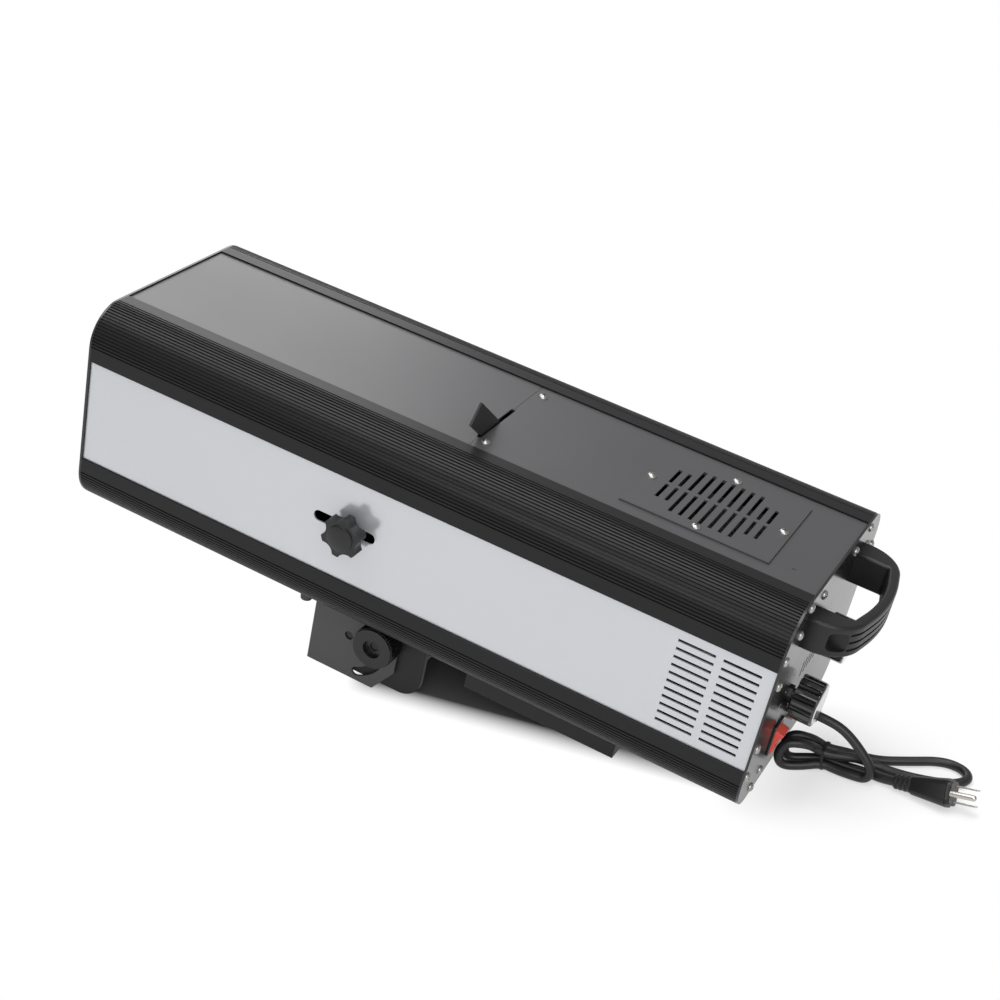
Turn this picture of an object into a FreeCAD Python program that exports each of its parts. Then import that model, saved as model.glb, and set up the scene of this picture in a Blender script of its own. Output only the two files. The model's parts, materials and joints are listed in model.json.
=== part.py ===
import FreeCAD, Part
import math
import os
from FreeCAD import Vector

# Followspot: a long ribbed aluminium lamp house on a tilting yoke, lying on the floor as it is stored
#
# Lengths are in millimetres. The pieces are drawn in the lamp house's own frame:
#   x from the rear panel's outer face forwards along the beam, y to the left, z up from the beam's axis.
# At the end everything is pitched nose up, because the lamp house rests on its rear edge and on the heels
# of its two ears, and the origin goes to the middle of the underside of the box round the whole thing.

# Lamp house
body_length = 640.0
body_width = 230.0
body_height = 191.0
corner_radius = 34.5
end_plate = 2.0
sheet = 1.5
sheet_gap = 0.3
overrun = 5.0

# Corner rails, one extruded section used four times
rail_lip = 12.0
rail_band = 12.5
rail_wall = 2.5
ledge = 2.0
ledge_width = 8.0
cover_recess = 1.5
side_recess = 1.8
rib_count = 19
rib_depth = 1.2
groove_share = 0.42
groove_floor_share = 0.6
port_radius = 5.25
port_inset = 7.5
port_shift = 5.0

# Screws
screw_radius = 1.95
tap_radius = 2.0
clearance_radius = 2.15
head_radius = 4.0
head_height = 2.6
head_rim_share = 0.35
short_screw = 4.0
long_screw = 10.0

# Covers and their openings
seam_x = 302.3
cover_screw_back = 8.3
cover_screw_inset = 15.5
vent_length = 128.0
vent_width = 104.0
vent_x = 110.0
vent_edge_inset = 6.0
vent_duct_margin = 12.0
slot_pitch = 8.57
slot_columns = 11
short_columns = 2
top_slot_width = 3.2
slot_row_gap = 4.2
slot_short = 24.6
slot_long = 37.6
dimple_x = 27.5
dimple_y = 44.0
dimple_radius = 1.6
dimple_depth = 0.4

# Side panels
side_slot_rows = 11
side_slot_pitch = 7.6
side_slot_height = 2.6
side_slot_length = 31.5
side_slot_first_x = 12.3
side_slot_column_step = 37.8

# Focus carriage, its knob and lenses
focus_slot_rear_x = 351.0
focus_slot_front_x = 400.0
focus_slot_width = 9.8
focus_x = 369.0
focus_z = 2.2
stud_radius = 3.0
stud_grip = 9.0
running_fit = 0.05
body_gap = 0.3
washer_radius = 9.0
washer_thickness = 1.0
knob_hub_radius = 8.5
knob_hub_height = 4.2
knob_radius = 18.3
knob_height = 11.0
knob_step = 1.4
knob_dome_height = 1.6
knob_dome_radius = 11.8
knob_lobes = 6
knob_lobe_angle = 37.0
knob_scallop_radius = 9.0
knob_scallop_centre = 23.3
carriage_plate = 4.0
carriage_inset = 17.0
carriage_top = 62.0
carriage_bottom = -52.0
carriage_corner = 8.0
bush_radius = 8.0
bush_length = 16.0
tab_height = 18.0
tab_clearance = 3.7
guide_rod_radius = 4.0
guide_rod_inset = 30.0
guide_rod_z = -40.0
focus_lens_radius = 52.0
focus_lens_edge = 5.0
focus_lens_bulge = 9.0
lens_seat_lip = 2.5

# Bulkheads and front lens
bulkhead = 2.0
bulkhead_step = 6.0
bulkhead_gap = 0.75
gate_x = 286.0
gate_flange_length = 13.5
gate_radius = 25.0
front_bulkhead_set_back = 30.0
barrel_radius = 74.0
barrel_wall = 2.0
barrel_tail = 10.0
barrel_flange_radius = 79.0
barrel_flange = 3.0
front_lens_edge = 6.0
front_lens_bulge = 14.0
front_lens_ahead = 2.0
front_ring_width = 5.0
front_ring_thickness = 3.0
front_opening_radius = 72.5

# Light engine
engine_x = 146.0
engine_opening_radius = 36.0
led_board_side = 48.0
emitter_radius = 13.0
emitter_height = 1.2
condenser_radius = 40.0
condenser_wall = 3.0
condenser_length = 52.0
condenser_flange_radius = 46.0
condenser_flange = 3.0
condenser_lens_offset = 24.0
condenser_lens_edge = 6.0
condenser_lens_bulge = 12.0
heatsink_length = 80.0
heatsink_side = 100.0
heatsink_base = 8.0
fin_count = 13
fin_thickness = 2.0
fan_side = 92.0
fan_depth = 25.0
fan_bore_radius = 43.0
fan_hub_radius = 17.0
fan_hub_depth = 18.0
fan_motor_depth = 5.0
fan_strut_width = 5.0
fan_corner = 6.0
blade_count = 7
blade_tip_radius = 41.0
blade_chord = 17.0
blade_thickness = 1.6
blade_angle = 38.0

# Dowser: the lever in the seam that swings a round flag across the gate
pivot_z = 70.5
lever_thickness = 2.0
lever_width = 21.0
lever_reach = 83.5
flag_radius = 28.0
lever_rest_angle = 52.0
lever_hub_radius = 13.0
dowser_pin_radius = 3.0
dowser_shoulder_radius = 6.0
dowser_head_radius = 5.0
dowser_head = 2.0
lever_slot_margin = 1.0
lever_slot_right_y = -13.5
lever_slot_left_y = 50.0

# Rear panel fittings, each placed by its y and z
handle_z = 62.5
handle_height = 28.6
handle_half_width = 71.3
handle_inner_half_width = 47.5
handle_reach = 44.83
handle_grip = 9.0
handle_bow_radius = 160.0
handle_bow_angle = 12.2
handle_outer_radius = 34.0
handle_inner_bow_radius = 130.0
handle_inner_bow_angle = 13.4
handle_inner_radius = 2.5
handle_edge = 3.0
handle_groove_pitch = 7.0
handle_groove_width = 2.2
handle_groove_depth = 1.2
handle_pocket_near_x = 17.6
handle_pocket_far_x = 32.0
handle_pocket_height = 16.5
handle_pocket_corner = 4.5
handle_pocket_depth = 12.0
dimmer_y = 45.0
dimmer_z = -9.5
strobe_y = 0.0
strobe_z = 26.5
dial_radius = 18.5
dial_length = 20.0
dial_stand_off = 6.0
dial_flutes = 12
dial_flute_radius = 2.6
dial_chamfer = 1.0
spindle_radius = 3.0
spindle_inner_x = 11.0
pot_radius = 8.0
pot_depth = 12.0
pot_bush_radius = 4.5
pot_bush_length = 5.0
pot_nut_radius = 6.5
pot_nut = 2.5
rocker_y = 47.3
rocker_z = -52.5
bezel_width = 20.5
bezel_height = 29.0
bezel_thickness = 2.0
switch_width = 18.0
switch_height = 26.4
switch_depth = 24.0
rocker_half_width = 7.5
rocker_half_height = 10.6
rocker_gap = 0.35
rocker_pivot_depth = 3.0
rocker_proud = 6.6
rocker_root = 2.5
rocker_valley = 4.4
rocker_throw_angle = 15.0
rocker_well_depth = 9.0
gland_y = 17.0
gland_z = -38.5
gland_flange_radius = 7.8
gland_flange = 6.0
gland_nut_radius = 7.0
gland_end_radius = 5.2
gland_length = 24.0
gland_nut_length = 9.0
gland_shank_radius = 6.0
gland_shank = 9.0
fuse_y = 11.0
fuse_z = -51.5
fuse_radius = 5.0
fuse_head = 5.0
fuse_shank_radius = 4.4
fuse_depth = 18.0
rear_vent_count = 12
rear_vent_pitch = 8.0
rear_vent_width = 3.0
rear_vent_left_y = 26.0
rear_vent_low_z = -6.0
rear_vent_high_z = 9.0
board_x = 24.0
board_thickness = 1.6
board_left_y = 0.0
board_right_y = -72.0
board_low_z = -60.0
board_high_z = -12.0
standoff_radius = 3.0
standoff_inset = 5.0
chip_side = 14.0
chip_height = 4.0
chip_shares = (0.25, 0.6)
extra_screw_shares = ((0.7304, 0.7068), (0.3522, 0.8586), (0.8957, 0.3141), (0.8957, -0.3246), (0.513, -0.8482))

# Driver box under the lamp house
box_rear_x = 114.0
box_front_x = 255.0
box_half_width = 80.0
box_drop = 24.0
box_tab = 10.0
driver_length = 130.0
driver_width = 72.0
driver_height = 20.0
driver_rear_x = 119.0

# Ears, yoke and locking wheels, measured down from the underside
ear_front_x = 410.0
ear_rear_x = 324.5
ear_heel_x = 342.5
ear_heel_rise = 25.0
ear_drop = 77.0
ear_inset = 43.0
ear_plate = 3.0
ear_flange = 24.0
ear_flange_inset = 6.0
ear_screw_inset = 18.0
ear_screw_from_lip = 12.5
tilt_x = 373.0
tilt_drop = 35.0
tilt_low_angle = -3.0
tilt_high_angle = 90.0
tilt_slot_spare_angle = 0.6
tilt_pin_radius = 4.0
tilt_pin_head_radius = 7.0
tilt_pin_head = 3.0
tilt_pin_spare = 1.6
tilt_washer_radius = 11.0
yoke_plate = 4.0
yoke_side_gap = 1.0
yoke_rear_x = 299.0
yoke_front_reach = 30.0
yoke_heel_radius = 20.0
yoke_floor_gap = 0.5
yoke_rear_drop = 15.0
yoke_top_drop = 8.0
yoke_top_x = 350.0
yoke_rear_corner = 6.0
yoke_nose_radius = 26.0
yoke_small_corner = 3.0
base_rear_x = 321.0
stand_hole_radius = 6.5
wheel_x = 340.3
wheel_drop = 22.0
wheel_radius = 19.5
wheel_length = 19.7
wheel_teeth = 48
wheel_tooth_depth = 1.0
wheel_rim = 2.0
wheel_recess_radius = 8.5
wheel_recess = 5.0
bolt_radius = 4.0
bolt_head_radius = 7.0
bolt_head = 3.0
bolt_reach = 14.0
slot_clearance = 0.3

# Feet beside the ears
foot_x = 419.0
foot_inset = 40.5
foot_radius = 6.0
foot_height = 16.0
foot_taper_share = 0.85

# Mains lead: its route is in the finished part's frame
cord_diameter = 7.8
cord_first_run = 10.2
corner_share = 0.45
junction_share = 0.38
lead_route = [(-329.5, 7.5, 42.8), (-341.5, 8.0, 32.0)]
hank_route = [
    (-356.0, 10.0, 14.5), (-351.5, 10.0, 4.0), (-338.5, 9.5, 4.0), (-325.5, 7.5, 4.0), (-313.5, 5.5, 5.8),
    (-298.0, 8.0, 4.0), (-281.5, 8.0, 4.0), (-279.3, 9.0, 17.5), (-286.0, 10.5, 30.5), (-301.5, 8.5, 25.0),
    (-306.5, 5.5, 18.5), (-313.5, 3.5, 13.5), (-326.5, 0.5, 13.0), (-340.5, -5.0, 12.0), (-351.5, -10.0, 6.0),
    (-363.5, -10.0, 4.0), (-381.5, -9.0, 4.0), (-401.5, -11.0, 4.0), (-418.5, -16.0, 4.0), (-426.0, -28.0, 4.0),
    (-416.5, -40.0, 4.0), (-398.5, -43.0, 4.0), (-375.5, -31.0, 4.0), (-351.5, -19.0, 4.5), (-329.5, -10.5, 11.0),
    (-313.5, -5.5, 13.5), (-307.0, -4.5, 17.5), (-301.5, -4.0, 23.5), (-286.0, -4.0, 28.5), (-280.0, -4.2, 16.0),
    (-283.0, -4.5, 4.0), (-299.0, -4.5, 4.0), (-313.5, -3.0, 5.8), (-329.5, -1.0, 4.0), (-343.5, 0.0, 4.0),
    (-354.0, 1.0, 4.0), (-363.7, 4.6, 5.0), (-373.5, 6.0, 6.5)]
tie_order = (32, 4, 11, 25)
tie_width = 2.6
tie_thickness = 0.8
tie_clearance = 0.4
tie_head = 4.6
tie_head_thickness = 3.4
relief_length = 16.0
relief_radius = 4.8
relief_ribs = 4
relief_rib = 0.9
neck_radius = 5.8
neck_width = 12.0
neck_height = 15.0
neck_corner = 4.0
plug_length = 30.0
plug_width = 20.0
plug_height = 23.0
plug_corner = 5.5
plug_roll_angle = 32.0
nose_length = 4.0
nose_inset = 1.8
blade_spacing = 12.7
blade_shift = 3.5
blade_width = 6.3
blade_gauge = 1.5
prong_length = 18.0
pin_radius = 2.4
pin_offset = 11.9
pin_length = 21.5

half_width = body_width / 2
half_height = body_height / 2
under = -half_height
y_flat = half_width - corner_radius
z_flat = half_height - corner_radius
lip_edge = y_flat - rail_lip
cover_under = half_height - cover_recess - sheet
panel_back = half_width - side_recess - sheet
panel_face = panel_back + sheet
ledge_back = panel_back - ledge
band_end = z_flat - rail_band
rail_rear_x = end_plate
rail_front_x = body_length - end_plate
tilt_z = under - tilt_drop
front_bulkhead_x = body_length - front_bulkhead_set_back
barrel_rear_x = front_bulkhead_x - barrel_tail
front_lens_x = front_bulkhead_x + front_lens_ahead
cover_screw_y = lip_edge - cover_screw_inset
carriage_half_width = half_width - carriage_inset
tab_end_y = panel_back - tab_clearance
stud_inner_y = tab_end_y - stud_grip
guide_rod_y = half_width - guide_rod_inset
ear_outer_y = half_width - ear_inset
ear_screw_y = lip_edge - ear_screw_from_lip
foot_y = half_width - foot_inset
tilt_pin_end_y = ear_outer_y - tilt_pin_spare
bolt_end_y = ear_outer_y + bolt_reach

touching = 1e-6
AXES = {"x": Vector(1, 0, 0), "y": Vector(0, 1, 0), "z": Vector(0, 0, 1)}
nodes = {}


def at(normal, a, b, height):
    """A point on a plane square to one axis, from its two other coordinates in x, y, z order."""
    return {"x": Vector(height, a, b), "y": Vector(a, height, b), "z": Vector(a, b, height)}[normal]


def wire_of(normal, corners, height):
    """A closed outline through corners (a, b) or (a, b, radius), with a tangent arc where a radius is given."""
    points = [Vector(c[0], c[1], 0) for c in corners]
    radii = [c[2] if len(c) > 2 else 0 for c in corners]
    stops = []
    for i, p in enumerate(points):
        before = (points[i - 1] - p).normalize()
        after = (points[(i + 1) % len(points)] - p).normalize()
        if not radii[i]:
            stops.append((p, None, p))
            continue
        half_turn = before.getAngle(after) / 2
        reach = radii[i] / math.tan(half_turn)
        centre = p + (before + after).normalize() * (radii[i] / math.sin(half_turn))
        middle = centre + (p - centre).normalize() * radii[i]
        stops.append((p + before * reach, middle, p + after * reach))
    lift = lambda v: at(normal, v.x, v.y, height)
    edges = []
    for i, (start, middle, end) in enumerate(stops):
        if middle:
            edges.append(Part.Arc(lift(start), lift(middle), lift(end)).toShape())
        following = stops[(i + 1) % len(stops)][0]
        if (following - end).Length > touching:
            edges.append(Part.LineSegment(lift(end), lift(following)).toShape())
    return Part.Wire(edges)


def plate(normal, corners, low, high):
    """A flat piece with an outline of corners, from one height to another along its normal."""
    face = Part.Face(wire_of(normal, corners, low))
    return face.extrude(AXES[normal] * (high - low))


def block(x, y, z):
    """A box from three pairs of limits."""
    low = [min(pair) for pair in (x, y, z)]
    size = [abs(pair[1] - pair[0]) for pair in (x, y, z)]
    return Part.makeBox(*size, Vector(*low))


def disc(axis, centre, radius, low, high):
    """A round bar along an axis, centred on the two other coordinates."""
    return Part.makeCylinder(radius, high - low, at(axis, *centre, low), AXES[axis])


def ring(axis, centre, inner, outer, low, high):
    return disc(axis, centre, outer, low, high).cut(disc(axis, centre, inner, low - overrun, high + overrun))


def box_corners(a, b, radius=0):
    """The four corners of a rectangle from two pairs of limits."""
    low_a, high_a = min(a), max(a)
    low_b, high_b = min(b), max(b)
    return [(low_a, low_b, radius), (high_a, low_b, radius), (high_a, high_b, radius), (low_a, high_b, radius)]


def mirrored(shape, axis="y"):
    return shape.mirror(Vector(0, 0, 0), AXES[axis])


def both(shape, axis="y"):
    return [shape, mirrored(shape, axis)]


def turned(shape, angle, axis, centre):
    copy = shape.copy()
    copy.rotate(centre, AXES[axis], angle)
    return copy


def fused(first, *others):
    return first.multiFuse(list(others)).removeSplitter()


def group(shapes):
    return Part.makeCompound(shapes)


def screw(axis, centre, face, outward, length):
    """A pan-head screw: its head stands on a face, outward is 1 or -1 along the axis."""
    rim = head_height * head_rim_share
    crown = head_height - rim
    sphere = (head_radius ** 2 + crown ** 2) / (2 * crown)
    half = math.asin(head_radius / sphere)
    top = Vector(0, 0, head_height)
    middle = Vector(sphere * math.sin(half / 2), 0, head_height - sphere * (1 - math.cos(half / 2)))
    rim_top = Vector(head_radius, 0, rim)
    outline = [Part.Arc(top, middle, rim_top).toShape()]
    stops = [rim_top, Vector(head_radius, 0, 0), Vector(screw_radius, 0, 0), Vector(screw_radius, 0, -length),
             Vector(0, 0, -length), top]
    outline += [Part.LineSegment(a, b).toShape() for a, b in zip(stops, stops[1:])]
    body = Part.Face(Part.Wire(outline)).revolve(Vector(0, 0, 0), Vector(0, 0, 1), 360)
    turn = FreeCAD.Rotation(Vector(0, 0, 1), AXES[axis] * outward)
    body.Placement = FreeCAD.Placement(at(axis, *centre, face), turn)
    return body


def lens(centre_x, radius, edge, bulge, land):
    """A round glass, flat to the rear and bulging to the front, with a flat land round the bulge."""
    rear, front, dome = centre_x - edge / 2, centre_x + edge / 2, radius - land
    sphere = (dome ** 2 + bulge ** 2) / (2 * bulge)
    half = math.asin(dome / sphere) / 2
    middle = Vector(front + bulge - sphere * (1 - math.cos(half)), 0, sphere * math.sin(half))
    top, rim = Vector(front + bulge, 0, 0), Vector(front, 0, dome)
    corners = [rim, Vector(front, 0, radius), Vector(rear, 0, radius), Vector(rear, 0, 0), top]
    edges = [Part.Arc(top, middle, rim).toShape()]
    edges += [Part.LineSegment(a, b).toShape() for a, b in zip(corners, corners[1:])]
    return Part.Face(Part.Wire(edges)).revolve(Vector(0, 0, 0), AXES["x"], 360)


def toothed(count, tip, root):
    """The corners of a knurled round: count teeth between two radii."""
    corners = []
    for i in range(count * 2):
        radius = tip if i % 2 else root
        angle = math.pi * (i + 0.5) / count
        corners.append((radius * math.cos(angle), radius * math.sin(angle)))
    return corners


# Corner rails
ports = [(half_width - port_inset, z_flat - port_shift), (y_flat - port_shift, half_height - port_inset)]


def rail_section():
    """The upper left rail: lip, ribbed quarter round, band and the ledges that carry the covers and panels."""
    outer = [(lip_edge, half_height), (y_flat, half_height)]
    pitch = 90 / rib_count
    for i in range(rib_count):
        middle = 90 - (i + 0.5) * pitch
        mouth = pitch * groove_share / 2
        floor = mouth * groove_floor_share
        for radius, angle in ((corner_radius, middle + mouth), (corner_radius - rib_depth, middle + floor),
                              (corner_radius - rib_depth, middle - floor), (corner_radius, middle - mouth)):
            turn = math.radians(angle)
            outer.append((y_flat + radius * math.cos(turn), z_flat + radius * math.sin(turn)))
    outer += [(half_width, z_flat), (half_width, band_end), (panel_back, band_end),
              (panel_back, band_end - ledge_width), (ledge_back, band_end - ledge_width),
              (ledge_back, band_end + rail_wall), (half_width - rail_wall, band_end + rail_wall),
              (half_width - rail_wall, z_flat)]
    inner = [(y_flat, half_height - rail_wall), (lip_edge + rail_wall, half_height - rail_wall),
             (lip_edge + rail_wall, cover_under - ledge), (lip_edge - ledge_width, cover_under - ledge),
             (lip_edge - ledge_width, cover_under), (lip_edge, cover_under), outer[0]]
    lift = lambda p: at("x", p[0], p[1], rail_rear_x)
    edges = [Part.LineSegment(lift(a), lift(b)).toShape() for a, b in zip(outer, outer[1:])]
    bend = corner_radius - rail_wall
    middle = (y_flat + bend * math.cos(math.pi / 4), z_flat + bend * math.sin(math.pi / 4))
    edges.append(Part.Arc(lift(outer[-1]), lift(middle), lift(inner[0])).toShape())
    edges += [Part.LineSegment(lift(a), lift(b)).toShape() for a, b in zip(inner, inner[1:])]
    return Part.Face(Part.Wire(edges))


rail_length = rail_front_x - rail_rear_x
rail = rail_section().extrude(AXES["x"] * rail_length)
rail = fused(rail, *[disc("x", p, port_radius, rail_rear_x, rail_front_x) for p in ports])
for port in ports:
    rail = rail.cut(disc("x", port, tap_radius, rail_rear_x - overrun, rail_front_x + overrun))
nodes["rail_top_left"] = rail
nodes["rail_top_right"] = mirrored(rail)
nodes["rail_bottom_left"] = mirrored(rail, "z")
nodes["rail_bottom_right"] = mirrored(mirrored(rail), "z")

# Side panels, with the louvres at the rear and the focus slot on the left
panel_x = (rail_rear_x + sheet_gap, rail_front_x - sheet_gap)
panel_z = (-band_end + sheet_gap, band_end - sheet_gap)
louvres = []
for column in range(2):
    start = side_slot_first_x + column * side_slot_column_step
    for row in range(side_slot_rows):
        middle = (row - (side_slot_rows - 1) / 2) * side_slot_pitch
        corners = box_corners((start, start + side_slot_length),
                              (middle - side_slot_height / 2, middle + side_slot_height / 2))
        louvres.append(plate("y", corners, panel_back - overrun, panel_face + overrun))
side = block(panel_x, (panel_back, panel_face), panel_z).cut(group(louvres))
slot_half = focus_slot_width / 2
focus_slot = plate("y", box_corners((focus_slot_rear_x - slot_half, focus_slot_front_x + slot_half),
                                    (focus_z - slot_half, focus_z + slot_half), slot_half),
                   panel_back - overrun, panel_face + overrun)
nodes["side_panel_left"] = side.cut(focus_slot)
nodes["side_panel_right"] = mirrored(side)

# Top covers, vent plate and bottom panel
cover_y = (-lip_edge + sheet_gap, lip_edge - sheet_gap)
cover_top = cover_under + sheet
cover_screws = [(seam_x - cover_screw_back, y) for y in (-cover_screw_y, cover_screw_y)]
vent_screws = [(vent_x + sx * (vent_length / 2 - vent_edge_inset), 0) for sx in (-1, 1)]
vent_screws += [(vent_x, sy * (vent_width / 2 - vent_edge_inset)) for sy in (-1, 1)]
lever_slot_half = lever_thickness / 2 + lever_slot_margin
lever_slot = block((seam_x - lever_slot_half, seam_x + lever_slot_half),
                   (lever_slot_right_y, lever_slot_left_y), (cover_under - overrun, cover_top + overrun))
duct = block((vent_x - vent_length / 2 + vent_duct_margin, vent_x + vent_length / 2 - vent_duct_margin),
             (-vent_width / 2 + vent_duct_margin, vent_width / 2 - vent_duct_margin),
             (cover_under - overrun, cover_top + overrun))
rear_cover = block((rail_rear_x + sheet_gap, seam_x - sheet_gap / 2), cover_y, (cover_under, cover_top))
rear_cover = rear_cover.cut(group([lever_slot, duct]))
dimple = disc("z", (dimple_x, dimple_y), dimple_radius, cover_top - dimple_depth, cover_top + overrun)
rear_cover = rear_cover.cut(dimple)
for spot in cover_screws + vent_screws:
    rear_cover = rear_cover.cut(disc("z", spot, clearance_radius, cover_under - overrun, cover_top + overrun))
nodes["top_cover_rear"] = rear_cover
front_cover = block((seam_x + sheet_gap / 2, rail_front_x - sheet_gap), cover_y, (cover_under, cover_top))
nodes["top_cover_front"] = front_cover.cut(lever_slot)
nodes["bottom_panel"] = mirrored(block(panel_x, cover_y, (cover_under, cover_top)), "z")

vent_top = cover_top + sheet
slots = []
for column in range(slot_columns):
    middle = vent_x + (column - (slot_columns - 1) / 2) * slot_pitch
    outer_column = column < short_columns or column >= slot_columns - short_columns
    length = slot_short if outer_column else slot_long
    for way in (-1, 1):
        near = way * slot_row_gap / 2
        half = top_slot_width / 2
        corners = box_corners((middle - half, middle + half), (near, near + way * length))
        slots.append(plate("z", corners, cover_top - overrun, vent_top + overrun))
vent_plate = block((vent_x - vent_length / 2, vent_x + vent_length / 2), (-vent_width / 2, vent_width / 2),
                   (cover_top, vent_top)).cut(group(slots))
for spot in vent_screws:
    vent_plate = vent_plate.cut(disc("z", spot, clearance_radius, cover_top - overrun, vent_top + overrun))
nodes["vent_plate"] = vent_plate
nodes["cover_screws"] = group([screw("z", p, cover_top, 1, short_screw) for p in cover_screws]
                              + [screw("z", p, vent_top, 1, short_screw) for p in vent_screws])

# Bulkheads across the inside, all with one outline that clears the rails
port_low = ports[0][0] - port_radius - bulkhead_gap
port_under = ports[0][1] - port_radius - bulkhead_gap
port_top = ports[1][1] - port_radius - bulkhead_gap
flange_y = lip_edge - ledge_width - bulkhead_gap


def bulkhead_outline():
    quarter = [(ledge_back, band_end), (port_low, port_under), (port_low, z_flat + bulkhead_step),
               (y_flat + bulkhead_step, port_top), (flange_y, port_top), (flange_y, cover_under)]
    upper = quarter + [(-y, z) for y, z in reversed(quarter)]
    return upper + [(y, -z) for y, z in reversed(upper)]


def bulkhead_at(x, opening_radius):
    opening = disc("x", (0, 0), opening_radius, x - overrun, x + bulkhead + overrun)
    return plate("x", bulkhead_outline(), x, x + bulkhead).cut(opening)


gate = bulkhead_at(gate_x, gate_radius)
gate_flange_x = (gate_x, gate_x + gate_flange_length)
gate = fused(gate, block(gate_flange_x, (-flange_y, flange_y), (cover_under - sheet, cover_under)))
for spot in cover_screws:
    gate = gate.cut(disc("z", spot, tap_radius, cover_under - 2 * sheet - overrun, cover_under + overrun))
nodes["gate_bulkhead"] = gate
nodes["engine_bulkhead"] = bulkhead_at(engine_x, engine_opening_radius)
nodes["front_bulkhead"] = bulkhead_at(front_bulkhead_x, barrel_radius)
rod_x = (gate_x + bulkhead, front_bulkhead_x)
nodes["guide_rods"] = group(both(disc("x", (guide_rod_y, guide_rod_z), guide_rod_radius, *rod_x)))

# Light engine: fan, heatsink, module and condenser
heatsink_front = engine_x
heatsink_rear = heatsink_front - heatsink_length
half_sink = heatsink_side / 2
fins = []
for i in range(fin_count):
    left = -half_sink + i * (heatsink_side - fin_thickness) / (fin_count - 1)
    fin_x = (heatsink_rear, heatsink_front - heatsink_base)
    fins.append(block(fin_x, (left, left + fin_thickness), (-half_sink, half_sink)))
heatsink = block((heatsink_front - heatsink_base, heatsink_front), (-half_sink, half_sink), (-half_sink, half_sink))
nodes["heatsink"] = fused(heatsink, *fins)
board_half = led_board_side / 2
emitter_x = engine_x + bulkhead
nodes["led_module"] = fused(
    block((engine_x, emitter_x), (-board_half, board_half), (-board_half, board_half)),
    disc("x", (0, 0), emitter_radius, emitter_x, emitter_x + emitter_height))
condenser_x = engine_x + bulkhead
condenser = fused(ring("x", (0, 0), condenser_radius - condenser_wall, condenser_radius,
                       condenser_x, condenser_x + condenser_length),
                  ring("x", (0, 0), condenser_radius - condenser_wall, condenser_flange_radius,
                       condenser_x, condenser_x + condenser_flange))
nodes["condenser_barrel"] = condenser
nodes["condenser_lens"] = lens(condenser_x + condenser_lens_offset, condenser_radius - condenser_wall - running_fit,
                               condenser_lens_edge, condenser_lens_bulge, lens_seat_lip)

fan_front = heatsink_rear
fan_rear = fan_front - fan_depth
half_fan = fan_side / 2
fan_frame = plate("x", box_corners((-half_fan, half_fan), (-half_fan, half_fan), fan_corner), fan_rear, fan_front)
fan_frame = fan_frame.cut(disc("x", (0, 0), fan_bore_radius, fan_rear - overrun, fan_front + overrun))
struts = [disc("x", (0, 0), fan_hub_radius, fan_rear, fan_rear + fan_motor_depth)]
for turn in (45, 135):
    strut = block((fan_rear, fan_rear + fan_motor_depth / 2), (-fan_bore_radius - fan_strut_width / 2,
                                                              fan_bore_radius + fan_strut_width / 2),
                  (-fan_strut_width / 2, fan_strut_width / 2))
    struts.append(turned(strut, turn, "x", Vector(0, 0, 0)))
nodes["fan_frame"] = fused(fan_frame, *struts)
rotor_rear = fan_rear + fan_motor_depth + body_gap
rotor_middle = rotor_rear + fan_hub_depth / 2
blades = []
for i in range(blade_count):
    blade = block((rotor_middle - blade_chord / 2, rotor_middle + blade_chord / 2),
                  (-blade_thickness / 2, blade_thickness / 2), (fan_hub_radius - overrun, blade_tip_radius))
    blade = turned(blade, blade_angle, "z", Vector(rotor_middle, 0, 0))
    blades.append(turned(blade, 360 * i / blade_count, "x", Vector(0, 0, 0)))
nodes["fan_rotor"] = fused(disc("x", (0, 0), fan_hub_radius, rotor_rear, rotor_rear + fan_hub_depth), *blades)

# Front lens in its barrel
barrel_front = rail_front_x - sheet_gap
barrel = ring("x", (0, 0), barrel_radius - barrel_wall, barrel_radius, barrel_rear_x, barrel_front)
barrel_flange_x = front_bulkhead_x - barrel_flange
barrel_bore_radius = barrel_radius - barrel_wall
barrel = fused(barrel, ring("x", (0, 0), barrel_bore_radius, barrel_flange_radius, barrel_flange_x,
                            front_bulkhead_x))
nodes["front_lens_barrel"] = barrel
inner_radius = barrel_radius - barrel_wall
nodes["front_lens"] = lens(front_lens_x, inner_radius - running_fit, front_lens_edge, front_lens_bulge,
                           front_ring_width)
ring_x = front_lens_x + front_lens_edge / 2
nodes["front_lens_ring"] = ring("x", (0, 0), inner_radius - front_ring_width, inner_radius - running_fit,
                                ring_x, ring_x + front_ring_thickness)

# Focus carriage on its rods, with the star knob outside the left panel
carriage_x = (focus_x - carriage_plate / 2, focus_x + carriage_plate / 2)
bush_x = (focus_x - bush_length / 2, focus_x + bush_length / 2)
carriage = plate("x", box_corners((-carriage_half_width, carriage_half_width), (carriage_bottom, carriage_top),
                                  carriage_corner), *carriage_x)
tab_y = (carriage_half_width - carriage_corner, tab_end_y)
carriage = fused(carriage, *both(disc("x", (guide_rod_y, guide_rod_z), bush_radius, *bush_x)),
                 block(bush_x, tab_y, (focus_z - tab_height / 2, focus_z + tab_height / 2)),
                 disc("x", (0, 0), focus_lens_radius + lens_seat_lip, carriage_x[1], carriage_x[1] + lens_seat_lip))
carriage = carriage.cut(group(both(disc("x", (guide_rod_y, guide_rod_z), guide_rod_radius + running_fit,
                                        bush_x[0] - overrun, bush_x[1] + overrun))))
light_hole = disc("x", (0, 0), focus_lens_radius - lens_seat_lip, carriage_x[0] - overrun,
                  carriage_x[1] + overrun)
carriage = carriage.cut(light_hole)
lens_seat_x = carriage_x[1] - lens_seat_lip
carriage = carriage.cut(disc("x", (0, 0), focus_lens_radius, lens_seat_x, carriage_x[1] + overrun))
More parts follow.
